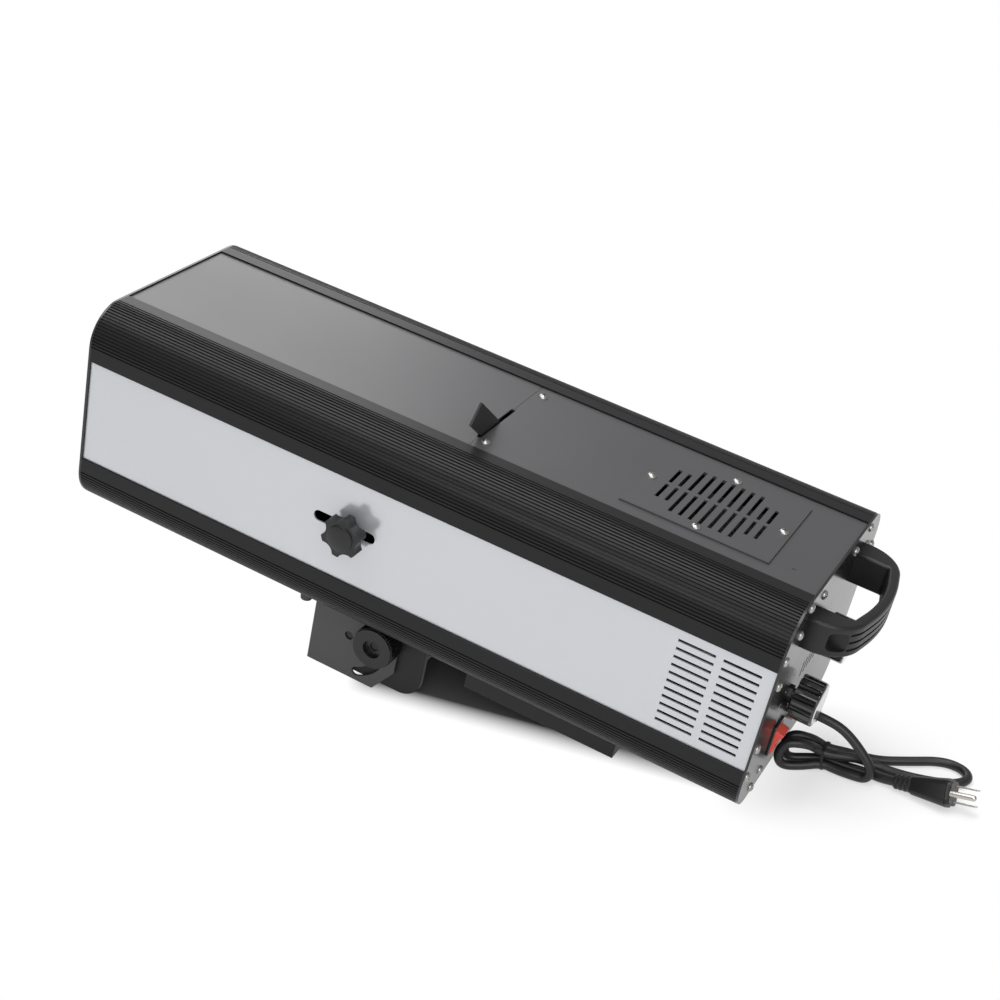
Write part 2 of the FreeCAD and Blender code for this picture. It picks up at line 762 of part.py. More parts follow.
stud_hole = disc("y", (focus_x, focus_z), stud_radius + running_fit, stud_inner_y - body_gap, tab_end_y + overrun)
carriage = carriage.cut(stud_hole)
nodes["lens_carriage"] = carriage
nodes["focus_lens"] = lens(lens_seat_x + focus_lens_edge / 2, focus_lens_radius - running_fit, focus_lens_edge,
                           focus_lens_bulge, lens_seat_lip)
washer_y = panel_face + body_gap
nodes["focus_washer"] = ring("y", (focus_x, focus_z), stud_radius + running_fit, washer_radius,
                             washer_y, washer_y + washer_thickness)
hub_y = washer_y + washer_thickness + body_gap
lobe_y = hub_y + knob_hub_height
knob_top = lobe_y + knob_height
stud_end = lobe_y + knob_height / 2
star = disc("y", (focus_x, focus_z), knob_radius, lobe_y, knob_top)
scallops = []
for i in range(knob_lobes):
    angle = math.radians(knob_lobe_angle) + 2 * math.pi * (i + 0.5) / knob_lobes
    spot = (focus_x + knob_scallop_centre * math.cos(angle), focus_z + knob_scallop_centre * math.sin(angle))
    scallops.append(disc("y", spot, knob_scallop_radius, lobe_y - overrun, knob_top + overrun))
star = star.cut(group(scallops))
star = fused(star, disc("y", (focus_x, focus_z), knob_hub_radius, hub_y, lobe_y))
dome_sphere = (knob_dome_radius ** 2 + knob_dome_height ** 2) / (2 * knob_dome_height)
step_top = knob_top + knob_step
knob_face = step_top + knob_dome_height
dome = Part.makeSphere(dome_sphere, Vector(focus_x, knob_face - dome_sphere, focus_z))
dome = dome.common(disc("y", (focus_x, focus_z), knob_radius, step_top, knob_face + overrun))
star = fused(star, disc("y", (focus_x, focus_z), knob_dome_radius, knob_top, step_top), dome)
knob_bore = disc("y", (focus_x, focus_z), stud_radius + running_fit, hub_y - overrun, stud_end + body_gap)
nodes["focus_knob"] = star.cut(knob_bore)
nodes["focus_stud"] = disc("y", (focus_x, focus_z), stud_radius, stud_inner_y, stud_end)

# Dowser lever and flag on their pin, drawn upright and laid over to their rest
lever_x = (seam_x - lever_thickness / 2, seam_x + lever_thickness / 2)
arm = plate("x", box_corners((-lever_width / 2, lever_width / 2), (0, pivot_z + lever_reach)), *lever_x)
flag = disc("x", (0, 0), flag_radius, *lever_x)
hub = disc("x", (0, pivot_z), lever_hub_radius, *lever_x)
lever = fused(arm, flag, hub).cut(disc("x", (0, pivot_z), dowser_pin_radius + running_fit,
                                       lever_x[0] - overrun, lever_x[1] + overrun))
nodes["dowser_lever"] = turned(lever, -lever_rest_angle, "x", Vector(0, 0, pivot_z))
shoulder_x = (gate_x + bulkhead, lever_x[0] - body_gap)
head_x = lever_x[1] + body_gap
nodes["dowser_pin"] = fused(disc("x", (0, pivot_z), dowser_shoulder_radius, *shoulder_x),
                            disc("x", (0, pivot_z), dowser_pin_radius, shoulder_x[0], head_x + dowser_head),
                            disc("x", (0, pivot_z), dowser_head_radius, head_x, head_x + dowser_head))

# Rear panel and everything on it
panel_outline = box_corners((-half_width, half_width), (-half_height, half_height), corner_radius)
port_screws = [(sy * y, sz * z) for y, z in ports for sy in (-1, 1) for sz in (-1, 1)]
extra_screws = [(side * y * half_width, z * half_height) for y, z in extra_screw_shares for side in (-1, 1)]
rear_x = (-overrun, end_plate + overrun)
handle_leg_y = (handle_half_width + handle_inner_half_width) / 2
rear_holes = [disc("x", p, clearance_radius, *rear_x) for p in port_screws + extra_screws]
rear_holes += [disc("x", (sy * handle_leg_y, handle_z), clearance_radius, *rear_x) for sy in (-1, 1)]
rear_holes += [disc("x", p, pot_bush_radius, *rear_x) for p in ((dimmer_y, dimmer_z), (strobe_y, strobe_z))]
rear_holes.append(block(rear_x, (rocker_y - switch_width / 2, rocker_y + switch_width / 2),
                        (rocker_z - switch_height / 2, rocker_z + switch_height / 2)))
rear_holes.append(disc("x", (gland_y, gland_z), gland_shank_radius, *rear_x))
rear_holes.append(disc("x", (fuse_y, fuse_z), fuse_shank_radius, *rear_x))
for i in range(rear_vent_count):
    left = rear_vent_left_y - i * rear_vent_pitch
    rear_holes.append(block(rear_x, (left - rear_vent_width, left), (rear_vent_low_z, rear_vent_high_z)))
nodes["rear_panel"] = plate("x", panel_outline, 0, end_plate).cut(group(rear_holes))

front_x = (rail_front_x - overrun, body_length + overrun)
front_holes = [disc("x", p, clearance_radius, *front_x) for p in port_screws]
front_holes.append(disc("x", (0, 0), front_opening_radius, *front_x))
nodes["front_panel"] = plate("x", panel_outline, rail_front_x, body_length).cut(group(front_holes))

# Handle
def bow(reach, half, bow_radius, bow_angle, corner_radius, inset=0):
    """One side's corners of a bow that reaches furthest in its middle, drawn in by an inset."""
    slant = math.radians(bow_angle)
    peak = reach + bow_radius * (1 / math.cos(slant) - 1) - inset / math.cos(slant)
    shoulder = peak - (half - inset) * math.tan(slant)
    return [(-shoulder, half - inset, corner_radius - inset), (-peak, 0, bow_radius - inset),
            (-shoulder, inset - half, corner_radius - inset)]


def handle_outline(inset):
    """The handle from above, drawn in from its outer edge by an inset."""
    half, inner = handle_half_width - inset, handle_inner_half_width
    outside = bow(handle_reach, handle_half_width, handle_bow_radius, handle_bow_angle,
                  handle_outer_radius, inset)
    inside = bow(handle_reach - handle_grip, inner, handle_inner_bow_radius, handle_inner_bow_angle,
                 handle_inner_radius)
    return [(0, half), *outside, (0, -half), (0, -inner), *reversed(inside), (0, inner)]


handle_low = handle_z - handle_height / 2
handle_high = handle_z + handle_height / 2
handle = plate("z", handle_outline(0), handle_low, handle_high)
rims = [e for e in handle.Edges
        if abs(e.BoundBox.ZLength) < handle_edge / 10 and e.BoundBox.XMin < -handle_edge / 10]
handle = handle.makeFillet(handle_edge, rims)
for step in (-1, 0, 1):
    middle = handle_z + step * handle_groove_pitch
    band = (middle - handle_groove_width / 2, middle + handle_groove_width / 2)
    skin = plate("z", handle_outline(-overrun), *band).cut(plate("z", handle_outline(handle_groove_depth), *band))
    keep_x = block((-handle_reach - 2 * overrun, -handle_pocket_far_x), (-body_width, body_width), band)
    handle = handle.cut(skin.common(keep_x))
pocket_floor = handle_half_width - handle_pocket_depth
pocket_z = (handle_z - handle_pocket_height / 2, handle_z + handle_pocket_height / 2)
pocket = plate("y", box_corners((-handle_pocket_far_x, -handle_pocket_near_x), pocket_z, handle_pocket_corner),
               pocket_floor, handle_half_width + overrun)
for cut in both(pocket):
    handle = handle.cut(cut)
leg_screw = screw("x", (handle_leg_y, handle_z), end_plate, 1, long_screw)
for way in (-1, 1):
    handle = handle.cut(disc("x", (way * handle_leg_y, handle_z), tap_radius, -long_screw, overrun))
nodes["rear_handle"] = handle
handle_screws = both(leg_screw)

nodes["end_screws"] = group([screw("x", p, 0, -1, long_screw) for p in port_screws]
                            + [screw("x", p, 0, -1, short_screw) for p in extra_screws]
                            + [screw("x", p, body_length, 1, long_screw) for p in port_screws] + handle_screws)

# Dials on the potentiometers
pot_spots = [(dimmer_y, dimmer_z), (strobe_y, strobe_z)]


def potentiometer(spot):
    body = fused(disc("x", spot, pot_radius, end_plate, end_plate + pot_depth),
                 disc("x", spot, pot_bush_radius, -pot_bush_length, end_plate),
                 plate("x", hexagon(spot, pot_nut_radius), -pot_nut, 0))
    bore_x = (-pot_bush_length - overrun, spindle_inner_x + body_gap)
    return body.cut(disc("x", spot, spindle_radius + running_fit, *bore_x))


def hexagon(spot, radius):
    return [(spot[0] + radius * math.cos(math.radians(60 * i)), spot[1] + radius * math.sin(math.radians(60 * i)))
            for i in range(6)]


def dial(spot):
    outer = -dial_stand_off - dial_length
    body = disc("x", spot, dial_radius, outer, -dial_stand_off)
    body = body.makeChamfer(dial_chamfer, [e for e in body.Edges if e.BoundBox.XMax < outer + dial_chamfer])
    flutes = []
    for i in range(dial_flutes):
        angle = 2 * math.pi * i / dial_flutes
        centre = (spot[0] + dial_radius * math.cos(angle), spot[1] + dial_radius * math.sin(angle))
        flutes.append(disc("x", centre, dial_flute_radius, outer + dial_chamfer * 2, overrun))
    body = body.cut(group(flutes))
    return fused(body, disc("x", spot, spindle_radius, -dial_stand_off - dial_length / 2, spindle_inner_x))


nodes["potentiometers"] = group([potentiometer(p) for p in pot_spots])
nodes["dimmer_dial"] = dial((dimmer_y, dimmer_z))
nodes["strobe_dial"] = dial((strobe_y, strobe_z))

# Rocker switch: the rocker is drawn level and tipped about its pivot to its rest; the well
# clears its ends at the bezel's face, where they swing furthest
rocker_pivot_x = rocker_pivot_depth
housing = fused(block((-bezel_thickness, 0), (rocker_y - bezel_width / 2, rocker_y + bezel_width / 2),
                      (rocker_z - bezel_height / 2, rocker_z + bezel_height / 2)),
                block((0, switch_depth), (rocker_y - switch_width / 2, rocker_y + switch_width / 2),
                      (rocker_z - switch_height / 2, rocker_z + switch_height / 2)))
throw = math.radians(rocker_throw_angle)
brim = (bezel_thickness + rocker_pivot_depth + rocker_half_height * math.sin(throw)) / math.cos(throw)
well_half_z = rocker_half_height * math.cos(throw) + brim * math.sin(throw) + rocker_gap
well_half_y = rocker_half_width + rocker_gap
housing = housing.cut(block((-bezel_thickness - overrun, rocker_well_depth),
                            (rocker_y - well_half_y, rocker_y + well_half_y),
                            (rocker_z - well_half_z, rocker_z + well_half_z)))
nodes["switch_housing"] = housing
rocker_side = [(-rocker_valley, 0), (-rocker_proud, rocker_half_height)]
rocker_side.append((rocker_pivot_depth + rocker_root, rocker_half_height))
rocker_side += [(x, -z) for x, z in reversed(rocker_side[1:])]
rocker = plate("y", [(x, rocker_z + z) for x, z in rocker_side], rocker_y - rocker_half_width,
               rocker_y + rocker_half_width)
nodes["power_rocker"] = turned(rocker, -rocker_throw_angle, "y", Vector(rocker_pivot_x, rocker_y, rocker_z))

# Cable gland and fuse holder
gland_spot = (gland_y, gland_z)
cone_length = gland_length - gland_flange - gland_nut_length
cone_start = -gland_flange - gland_nut_length
cone_base = at("x", *gland_spot, cone_start)
cone = Part.makeCone(gland_nut_radius, gland_end_radius, cone_length, cone_base, Vector(-1, 0, 0))
nodes["cable_gland"] = fused(plate("x", hexagon(gland_spot, gland_flange_radius), -gland_flange, 0),
                             disc("x", gland_spot, gland_nut_radius, cone_start, -gland_flange), cone,
                             disc("x", gland_spot, gland_shank_radius, 0, gland_shank))
fuse_spot = (fuse_y, fuse_z)
nodes["fuse_holder"] = fused(disc("x", fuse_spot, fuse_radius, -fuse_head, 0),
                             disc("x", fuse_spot, fuse_shank_radius, 0, fuse_depth))

# Control board on four stand-offs behind the rear panel
board_edges = (board_right_y, board_left_y), (board_low_z, board_high_z)
board = block((board_x, board_x + board_thickness), *board_edges)
feet = []
for y in (board_right_y + standoff_inset, board_left_y - standoff_inset):
    for z in (board_low_z + standoff_inset, board_high_z - standoff_inset):
        feet.append(disc("x", (y, z), standoff_radius, end_plate, board_x))
chip_x = board_x + board_thickness
chip_low_z = (board_low_z + board_high_z - chip_side) / 2
for share in chip_shares:
    chip_y = board_right_y + share * (board_left_y - board_right_y)
    feet.append(block((chip_x, chip_x + chip_height), (chip_y, chip_y + chip_side),
                      (chip_low_z, chip_low_z + chip_side)))
nodes["control_board"] = fused(board, *feet)

# Driver box and the supply inside it
box_y = (-box_half_width, box_half_width)
box_z = (under - box_drop, under)
tray = block((box_rear_x, box_front_x), box_y, box_z)
tray = tray.cut(block((box_rear_x + sheet, box_front_x - sheet), (-box_half_width + sheet, box_half_width - sheet),
                      (box_z[0] + sheet, under + overrun)))
tabs = both(block((box_rear_x, box_front_x), (box_half_width - box_tab, box_half_width), (under - sheet, under)))
nodes["driver_box"] = fused(tray, *tabs)
supply_z = box_z[0] + sheet
nodes["led_driver"] = block((driver_rear_x, driver_rear_x + driver_length), (-driver_width / 2, driver_width / 2),
                            (supply_z, supply_z + driver_height))

# Ears: plates under the lamp house, each with the tilt hole and the curved slot for its locking wheel
ear_inner_y = ear_outer_y - ear_plate
wheel_z = under - wheel_drop
wheel_arm = math.hypot(wheel_x - tilt_x, wheel_z - tilt_z)
wheel_angle = math.degrees(math.atan2(wheel_z - tilt_z, wheel_x - tilt_x))


def curved_slot(radius, half, start, end):
    """A slot along an arc about the tilt axis, between two angles in degrees, with round ends."""
    def spot(r, angle):
        turn = math.radians(angle)
        return Vector(tilt_x + r * math.cos(turn), ear_inner_y - overrun, tilt_z + r * math.sin(turn))
    middle = (start + end) / 2
    edges = [Part.Arc(spot(radius + half, start), spot(radius + half, middle), spot(radius + half, end)).toShape(),
             Part.LineSegment(spot(radius + half, end), spot(radius - half, end)).toShape(),
             Part.Arc(spot(radius - half, end), spot(radius - half, middle), spot(radius - half, start)).toShape(),
             Part.LineSegment(spot(radius - half, start), spot(radius + half, start)).toShape()]
    depth = AXES["y"] * (ear_plate + 2 * overrun)
    ends = [Part.makeCylinder(half, ear_plate + 2 * overrun, spot(radius, a), AXES["y"]) for a in (start, end)]
    return fused(Part.Face(Part.Wire(edges)).extrude(depth), *ends)


ear_corners = [(ear_rear_x, under), (ear_front_x, under), (ear_front_x, under - ear_drop),
               (ear_heel_x, under - ear_drop), (ear_rear_x, under - ear_drop + ear_heel_rise)]
ear = plate("y", ear_corners, ear_inner_y, ear_outer_y)
flange_x = (ear_rear_x + ear_flange_inset, ear_front_x - ear_flange_inset)
panel_under = under + cover_recess
ear = fused(ear, block(flange_x, (ear_inner_y - ear_flange, ear_inner_y), (under - sheet, under)),
            block(flange_x, (ear_inner_y - ear_flange, lip_edge - sheet_gap), (under - sheet, panel_under)))
slot_low_angle = wheel_angle + tilt_low_angle - tilt_slot_spare_angle
slot_high_angle = wheel_angle + tilt_high_angle + tilt_slot_spare_angle
ear = ear.cut(curved_slot(wheel_arm, bolt_radius + slot_clearance, slot_low_angle, slot_high_angle))
pin_hole = disc("y", (tilt_x, tilt_z), tilt_pin_radius + running_fit, ear_inner_y - overrun,
                ear_outer_y + overrun)
ear = ear.cut(pin_hole)
ear_screws = [(x, ear_screw_y) for x in (ear_rear_x + ear_screw_inset, ear_front_x - ear_screw_inset)]
for spot in ear_screws:
    ear = ear.cut(disc("z", spot, clearance_radius, under - sheet - overrun, panel_under + overrun))
nodes["ear_left"] = ear
nodes["ear_right"] = mirrored(ear)
panel_holes = [disc("z", (x, sy * y), tap_radius, panel_under - overrun, panel_under + sheet + overrun)
               for x, y in ear_screws for sy in (-1, 1)]
nodes["bottom_panel"] = nodes["bottom_panel"].cut(group(panel_holes))
under_screws = [screw("z", (x, sy * y), under - sheet, -1, short_screw) for x, y in ear_screws for sy in (-1, 1)]
nodes["ear_screws"] = group(under_screws)

# Pitch of the lamp house on the floor, from the heels of the ears
pitch = math.atan2(ear_drop, ear_heel_x)
nose_up = math.degrees(pitch)

# Yoke: two cheeks inside the ears and a base with the stand hole
cheek_outer_y = ear_inner_y - yoke_side_gap
cheek_inner_y = cheek_outer_y - yoke_plate
yoke_front_x = tilt_x + yoke_front_reach
heel_x = yoke_rear_x + yoke_heel_radius
heel_rise = (yoke_floor_gap + yoke_heel_radius - heel_x * math.sin(pitch)) / math.cos(pitch)
yoke_bottom = under + heel_rise - yoke_heel_radius
cheek = plate("y", [(yoke_rear_x, yoke_bottom, yoke_heel_radius), (yoke_front_x, yoke_bottom, yoke_small_corner),
                    (yoke_front_x, under - yoke_top_drop, yoke_nose_radius),
                    (yoke_top_x, under - yoke_top_drop, yoke_rear_corner),
                    (yoke_rear_x, under - yoke_rear_drop, yoke_rear_corner)], cheek_inner_y, cheek_outer_y)
base = block((base_rear_x, yoke_front_x - yoke_small_corner), (-cheek_outer_y, cheek_outer_y),
             (yoke_bottom, yoke_bottom + yoke_plate))
yoke = fused(cheek, mirrored(cheek), base)
base_x = (base_rear_x + yoke_front_x - yoke_small_corner) / 2
yoke = yoke.cut(disc("z", (base_x, 0), stand_hole_radius, yoke_bottom - overrun, yoke_bottom + yoke_plate + overrun))
reach_y = cheek_outer_y + overrun
for spot, radius in (((tilt_x, tilt_z), tilt_pin_radius), ((wheel_x, wheel_z), bolt_radius)):
    yoke = yoke.cut(disc("y", spot, radius, -reach_y, reach_y))
nodes["yoke"] = yoke
tilt_spot = (tilt_x, tilt_z)
tilt_pin = fused(disc("y", tilt_spot, tilt_pin_head_radius, cheek_inner_y - tilt_pin_head, cheek_inner_y),
                 disc("y", tilt_spot, tilt_pin_radius, cheek_inner_y, tilt_pin_end_y))
nodes["tilt_pins"] = group(both(tilt_pin))
washer_gap = yoke_side_gap / 10
tilt_washer = ring("y", tilt_spot, tilt_pin_radius, tilt_washer_radius, cheek_outer_y, ear_inner_y - washer_gap)
nodes["tilt_washers"] = group(both(tilt_washer))

# Locking wheels on bolts that stand in the cheeks and pass through the ears' slots
wheel_spot = (wheel_x, wheel_z)
bolt = fused(disc("y", wheel_spot, bolt_head_radius, cheek_inner_y - bolt_head, cheek_inner_y),
             disc("y", wheel_spot, bolt_radius, cheek_inner_y, bolt_end_y))
nodes["wheel_bolts"] = group(both(bolt))
wheel_low = ear_outer_y + body_gap
wheel_high = wheel_low + wheel_length
knurl = [(wheel_x + a, wheel_z + b) for a, b in toothed(wheel_teeth, wheel_radius, wheel_radius - wheel_tooth_depth)]
wheel = plate("y", knurl, wheel_low, wheel_high - wheel_rim)
wheel = fused(wheel, disc("y", wheel_spot, wheel_radius - wheel_tooth_depth, wheel_high - wheel_rim, wheel_high))
wheel = wheel.cut(disc("y", wheel_spot, wheel_recess_radius, wheel_high - wheel_recess, wheel_high + overrun))
wheel = wheel.cut(disc("y", wheel_spot, bolt_radius + running_fit, wheel_low - overrun, wheel_high + overrun))
nodes["wheel_left"] = wheel
nodes["wheel_right"] = mirrored(wheel)

# Feet
foot_low = Vector(foot_x, foot_y, under - foot_height)
foot = Part.makeCone(foot_radius * foot_taper_share, foot_radius, foot_height, foot_low)
nodes["feet"] = group(both(foot))

# Placing: nose up, then the origin to the middle of the underside
x_front = (body_length + head_height) * math.cos(pitch) - port_inset * math.sin(pitch)
handle_top = handle_high + half_height
x_rear = -handle_reach * math.cos(pitch) - handle_top * math.sin(pitch)
y_left = knob_face
y_right = -(wheel_high if wheel_high > half_width else half_width)
origin = Vector((x_front + x_rear) / 2, (y_left + y_right) / 2, 0)


def placed(shape):
    copy = shape.copy()
    copy.translate(Vector(0, 0, half_height))
    copy.rotate(Vector(0, 0, 0), AXES["y"], -nose_up)
    copy.translate(-origin)
    return copy


def placed_point(x, y, z):
    turned_x = x * math.cos(pitch) - (z + half_height) * math.sin(pitch)
    turned_z = x * math.sin(pitch) + (z + half_height) * math.cos(pitch)
    return Vector(turned_x, y, turned_z) - origin


print("nose up", round(nose_up, 4), "origin", [round(v, 4) for v in origin])
for name, spot in {"tilt": (tilt_x, 0, tilt_z), "wheel": (wheel_x, 0, wheel_z),
                   "stand hole": (base_x, 0, yoke_bottom), "focus knob": (focus_x, 0, focus_z),
                   "dowser": (seam_x, 0, pivot_z), "dimmer": (0, dimmer_y, dimmer_z),
                   "strobe": (0, strobe_y, strobe_z), "rocker": (rocker_pivot_x, rocker_y, rocker_z),
                   "fan": (fan_rear, 0, 0), "gland end": (-gland_length, gland_y, gland_z)}.items():
    print(name, [round(v, 4) for v in placed_point(*spot)])

nodes = {name: placed(shape) for name, shape in nodes.items()}

# Mains lead, as it lies beside the rear panel: out of the gland, folded to and fro under a tie, to its plug
gland_end = placed_point(-gland_length, gland_y, gland_z)
lead_start = placed_point(-gland_length - cord_first_run, gland_y, gland_z)
lead_points = [gland_end, lead_start] + [Vector(*p) for p in lead_route]
hank_points = [Vector(*p) for p in hank_route]
junction = lead_points[-1] + (hank_points[0] - lead_points[-1]) * junction_share
plug_axis = (hank_points[-1] - hank_points[-2]).normalize()


def arc_edge(start, heading, end):
    """An arc from start, leaving along heading, to end: its edge and its radius."""
    chord = end - start
    inward = (chord - heading * chord.dot(heading)).normalize()
    radius = chord.Length / (2 * math.sin(chord.getAngle(heading)))
    centre = start + inward * radius
    middle = centre + ((start + end) / 2 - centre).normalize() * radius
    return Part.Arc(start, middle, end).toShape(), radius


def rounded_route(points):
    """Straight runs joined by tangent arcs as large as the shorter run beside each corner allows."""
    edges, radii, last = [], [], points[0]
    for before, corner, after in zip(points, points[1:], points[2:]):
        back, on = before - corner, after - corner
        reach = min(back.Length, on.Length) * corner_share
        start = corner + back.normalize() * reach
        end = corner + on.normalize() * reach
        edges.append(Part.LineSegment(last, start).toShape())
        arc, radius = arc_edge(start, back * -1, end)
        edges.append(arc)
        radii.append(radius)
        last = end
    edges.append(Part.LineSegment(last, points[-1]).toShape())
    return Part.Wire(edges), radii


def wound_route(points, straight):
    """Two arcs round each corner, between the middles of its runs, with straight ends."""
    headings = [(b - a).normalize() for a, b in zip(points, points[1:])]
    stops = [(a + b) / 2 for a, b in zip(points, points[1:])]
    stops[0] = points[0] + headings[0] * straight
    stops[-1] = points[-1] - headings[-1] * straight
    edges, radii = [Part.LineSegment(points[0], stops[0]).toShape()], []
    for start, end, heading, leaving in zip(stops, stops[1:], headings, headings[1:]):
        chord, both_ways = end - start, heading + leaving
        spread = 2 * (1 - heading.dot(leaving))
        along = chord.dot(both_ways)
        reach = (math.sqrt(along ** 2 + spread * chord.dot(chord)) - along) / spread
        joint = (start + end + (heading - leaving) * reach) / 2
        first, first_radius = arc_edge(start, heading, joint)
        second, second_radius = arc_edge(end, leaving * -1, joint)
        edges += [first, second]
        radii += [first_radius, second_radius]
    edges.append(Part.LineSegment(stops[-1], points[-1]).toShape())
    return Part.Wire(edges), radii


def tube(wire, start, heading, radius):
    """A round tube along a wire, checked against its section times its length."""
    profile = Part.Wire(Part.makeCircle(radius, start, heading))
    solid = wire.makePipeShell([profile], True, False)
    volume_share = solid.Volume / (math.pi * radius ** 2 * wire.Length)
    print("tube volume share", round(volume_share, 5), "length", round(wire.Length, 2))
    return solid


cord_radius = cord_diameter / 2
lead_wire, lead_radii = rounded_route(lead_points + [junction])
hank_wire, hank_radii = wound_route([junction] + hank_points, cord_diameter)
print("lead radii", [round(r, 1) for r in lead_radii])
print("hank radii", [round(r, 1) for r in hank_radii])
nodes["cord_lead"] = tube(lead_wire, gland_end, lead_start - gland_end, cord_radius)
nodes["cord_hank"] = tube(hank_wire, junction, hank_points[0] - junction, cord_radius)

samples = hank_wire.discretize(Distance=cord_diameter / 8)
step = hank_wire.Length / (len(samples) - 1)
apart = math.ceil(3 * cord_diameter / step)
gap = min((a - b).Length for i, a in enumerate(samples) for b in samples[i + apart:]) - cord_diameter
print("least gap of the hank to itself", round(gap, 2))

# Tie round the four strands
tie_x = hank_points[tie_order[0]].x
crossings = [a + (b - a) * ((tie_x - a.x) / (b.x - a.x)) for a, b in zip(samples, samples[1:])
             if (a.x - tie_x) * (b.x - tie_x) <= 0]
print("strands at the tie", [[round(p.y, 2), round(p.z, 2)] for p in crossings])
strands = [(p.y, p.z) for p in (min(crossings, key=lambda c: (c - hank_points[i]).Length) for i in tie_order)]


def belt(centres, radius, low, high):
    """A band's outline round several round strands, with its centres given counterclockwise."""
    edges = []
    ends = []
    for a, b in zip(centres, centres[1:] + centres[:1]):
        along = Vector(0, b[0] - a[0], b[1] - a[1]).normalize()
        out = Vector(0, along.z, -along.y) * radius
        ends.append((Vector(low, *a) + out, Vector(low, *b) + out, out))
    for i, (start, end, out) in enumerate(ends):
        following = ends[(i + 1) % len(ends)]
        centre = Vector(low, *centres[(i + 1) % len(centres)])
        middle = centre + (out + following[2]).normalize() * radius
        edges.append(Part.LineSegment(start, end).toShape())
        edges.append(Part.Arc(end, middle, following[0]).toShape())
    return Part.Face(Part.Wire(edges)).extrude(Vector(high - low, 0, 0))


tie_low, tie_high = tie_x - tie_width / 2, tie_x + tie_width / 2
inner = belt(strands, cord_radius + tie_clearance, tie_low - overrun, tie_high + overrun)
tie = belt(strands, cord_radius + tie_clearance + tie_thickness, tie_low, tie_high).cut(inner)
head_y = min(y for y, z in strands) - cord_radius - tie_thickness / 2
head_z = sum(z for y, z in strands) / len(strands)
head = block((tie_x - tie_head / 2, tie_x + tie_head / 2), (head_y - tie_head_thickness, head_y),
             (head_z - tie_head / 2, head_z + tie_head / 2))
nodes["cable_tie"] = fused(tie, head)

# Plug: ribbed relief, tapered body, nose block, two blades and a round pin, drawn along x and laid in place
relief_end = relief_length
relief = Part.makeCone(relief_radius, neck_radius, relief_length, Vector(0, 0, 0), AXES["x"])
rib_step = relief_length / relief_ribs
for i in range(relief_ribs):
    middle = (i + 0.5) * rib_step
    size = relief_radius + (neck_radius - relief_radius) * middle / relief_length + relief_rib
    relief = relief.fuse(disc("x", (0, 0), size, middle - rib_step / 4, middle + rib_step / 4))
plug_end = relief_end + plug_length
sections = []
for width, height, corner, x in ((neck_width, neck_height, neck_corner, relief_end),
                                 (plug_width, plug_height, plug_corner, plug_end)):
    sections.append(wire_of("x", box_corners((-width / 2, width / 2), (-height / 2, height / 2), corner), x))
shell = Part.makeLoft(sections, True, True)
nose_end = plug_end + nose_length
nose_half_width = plug_width / 2 - nose_inset
nose_half_height = plug_height / 2 - nose_inset
nose_corners = box_corners((-nose_half_width, nose_half_width), (-nose_half_height, nose_half_height),
                           plug_corner - nose_inset / 2)
nose = plate("x", nose_corners, plug_end, nose_end)
plug = fused(shell, nose, relief)
pin_spots = [(blade_shift, blade_spacing / 2), (blade_shift, -blade_spacing / 2)]
blades = [block((nose_end, nose_end + prong_length), (y - blade_width / 2, y + blade_width / 2),
                (z - blade_gauge / 2, z + blade_gauge / 2)) for y, z in pin_spots]
pin_y = blade_shift - pin_offset
pin_end = nose_end + pin_length
pin = disc("x", (pin_y, 0), pin_radius, nose_end, pin_end - pin_radius)
pin = pin.fuse(Part.makeSphere(pin_radius, Vector(pin_end - pin_radius, pin_y, 0))).removeSplitter()
roll = Vector(0, -math.sin(math.radians(plug_roll_angle)), math.cos(math.radians(plug_roll_angle)))
up = (roll - plug_axis * roll.dot(plug_axis)).normalize()
lay = FreeCAD.Placement(hank_points[-1], FreeCAD.Rotation(plug_axis, up.cross(plug_axis), up, "XZY"))
for name, shape in {"plug_body": plug, "plug_prongs": group(blades + [pin])}.items():
    shape.Placement = lay
    nodes[name] = shape

os.makedirs("parts", exist_ok=True)
for name, shape in nodes.items():
    shape.exportStep(f"parts/{name}.step")
print(len(nodes), "nodes")
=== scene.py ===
# %% [markdown]
# # A followspot, finished over its CAD solids
# The lamp house, its yoke and its mains lead arrive as exact solids from the CAD step. Blender gives them their
# rounded edges, screws, print and paint. We load the solids first, because every later cell is placed by them.
# Lengths in this file are in millimetres until `MM` turns them into Blender's metres.

# %% Load the solids
import bpy
import bmesh
import json
import math
import random
from mathutils import Matrix, Vector


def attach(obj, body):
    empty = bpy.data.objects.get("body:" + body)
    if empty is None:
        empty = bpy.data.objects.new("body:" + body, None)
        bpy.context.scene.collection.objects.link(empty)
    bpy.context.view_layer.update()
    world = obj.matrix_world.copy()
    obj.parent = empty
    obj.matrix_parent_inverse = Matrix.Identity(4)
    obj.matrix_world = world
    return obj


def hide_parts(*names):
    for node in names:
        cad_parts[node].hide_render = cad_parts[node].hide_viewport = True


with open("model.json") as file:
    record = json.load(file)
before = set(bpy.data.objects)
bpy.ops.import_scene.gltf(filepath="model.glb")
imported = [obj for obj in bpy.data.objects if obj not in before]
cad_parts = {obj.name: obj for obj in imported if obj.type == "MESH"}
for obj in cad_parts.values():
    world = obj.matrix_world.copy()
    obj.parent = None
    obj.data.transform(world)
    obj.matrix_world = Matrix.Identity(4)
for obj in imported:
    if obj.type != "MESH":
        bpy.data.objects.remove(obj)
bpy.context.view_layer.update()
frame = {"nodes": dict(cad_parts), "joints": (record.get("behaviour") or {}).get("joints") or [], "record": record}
joints = {joint["name"]: joint for joint in frame["joints"]}
MM = 0.001

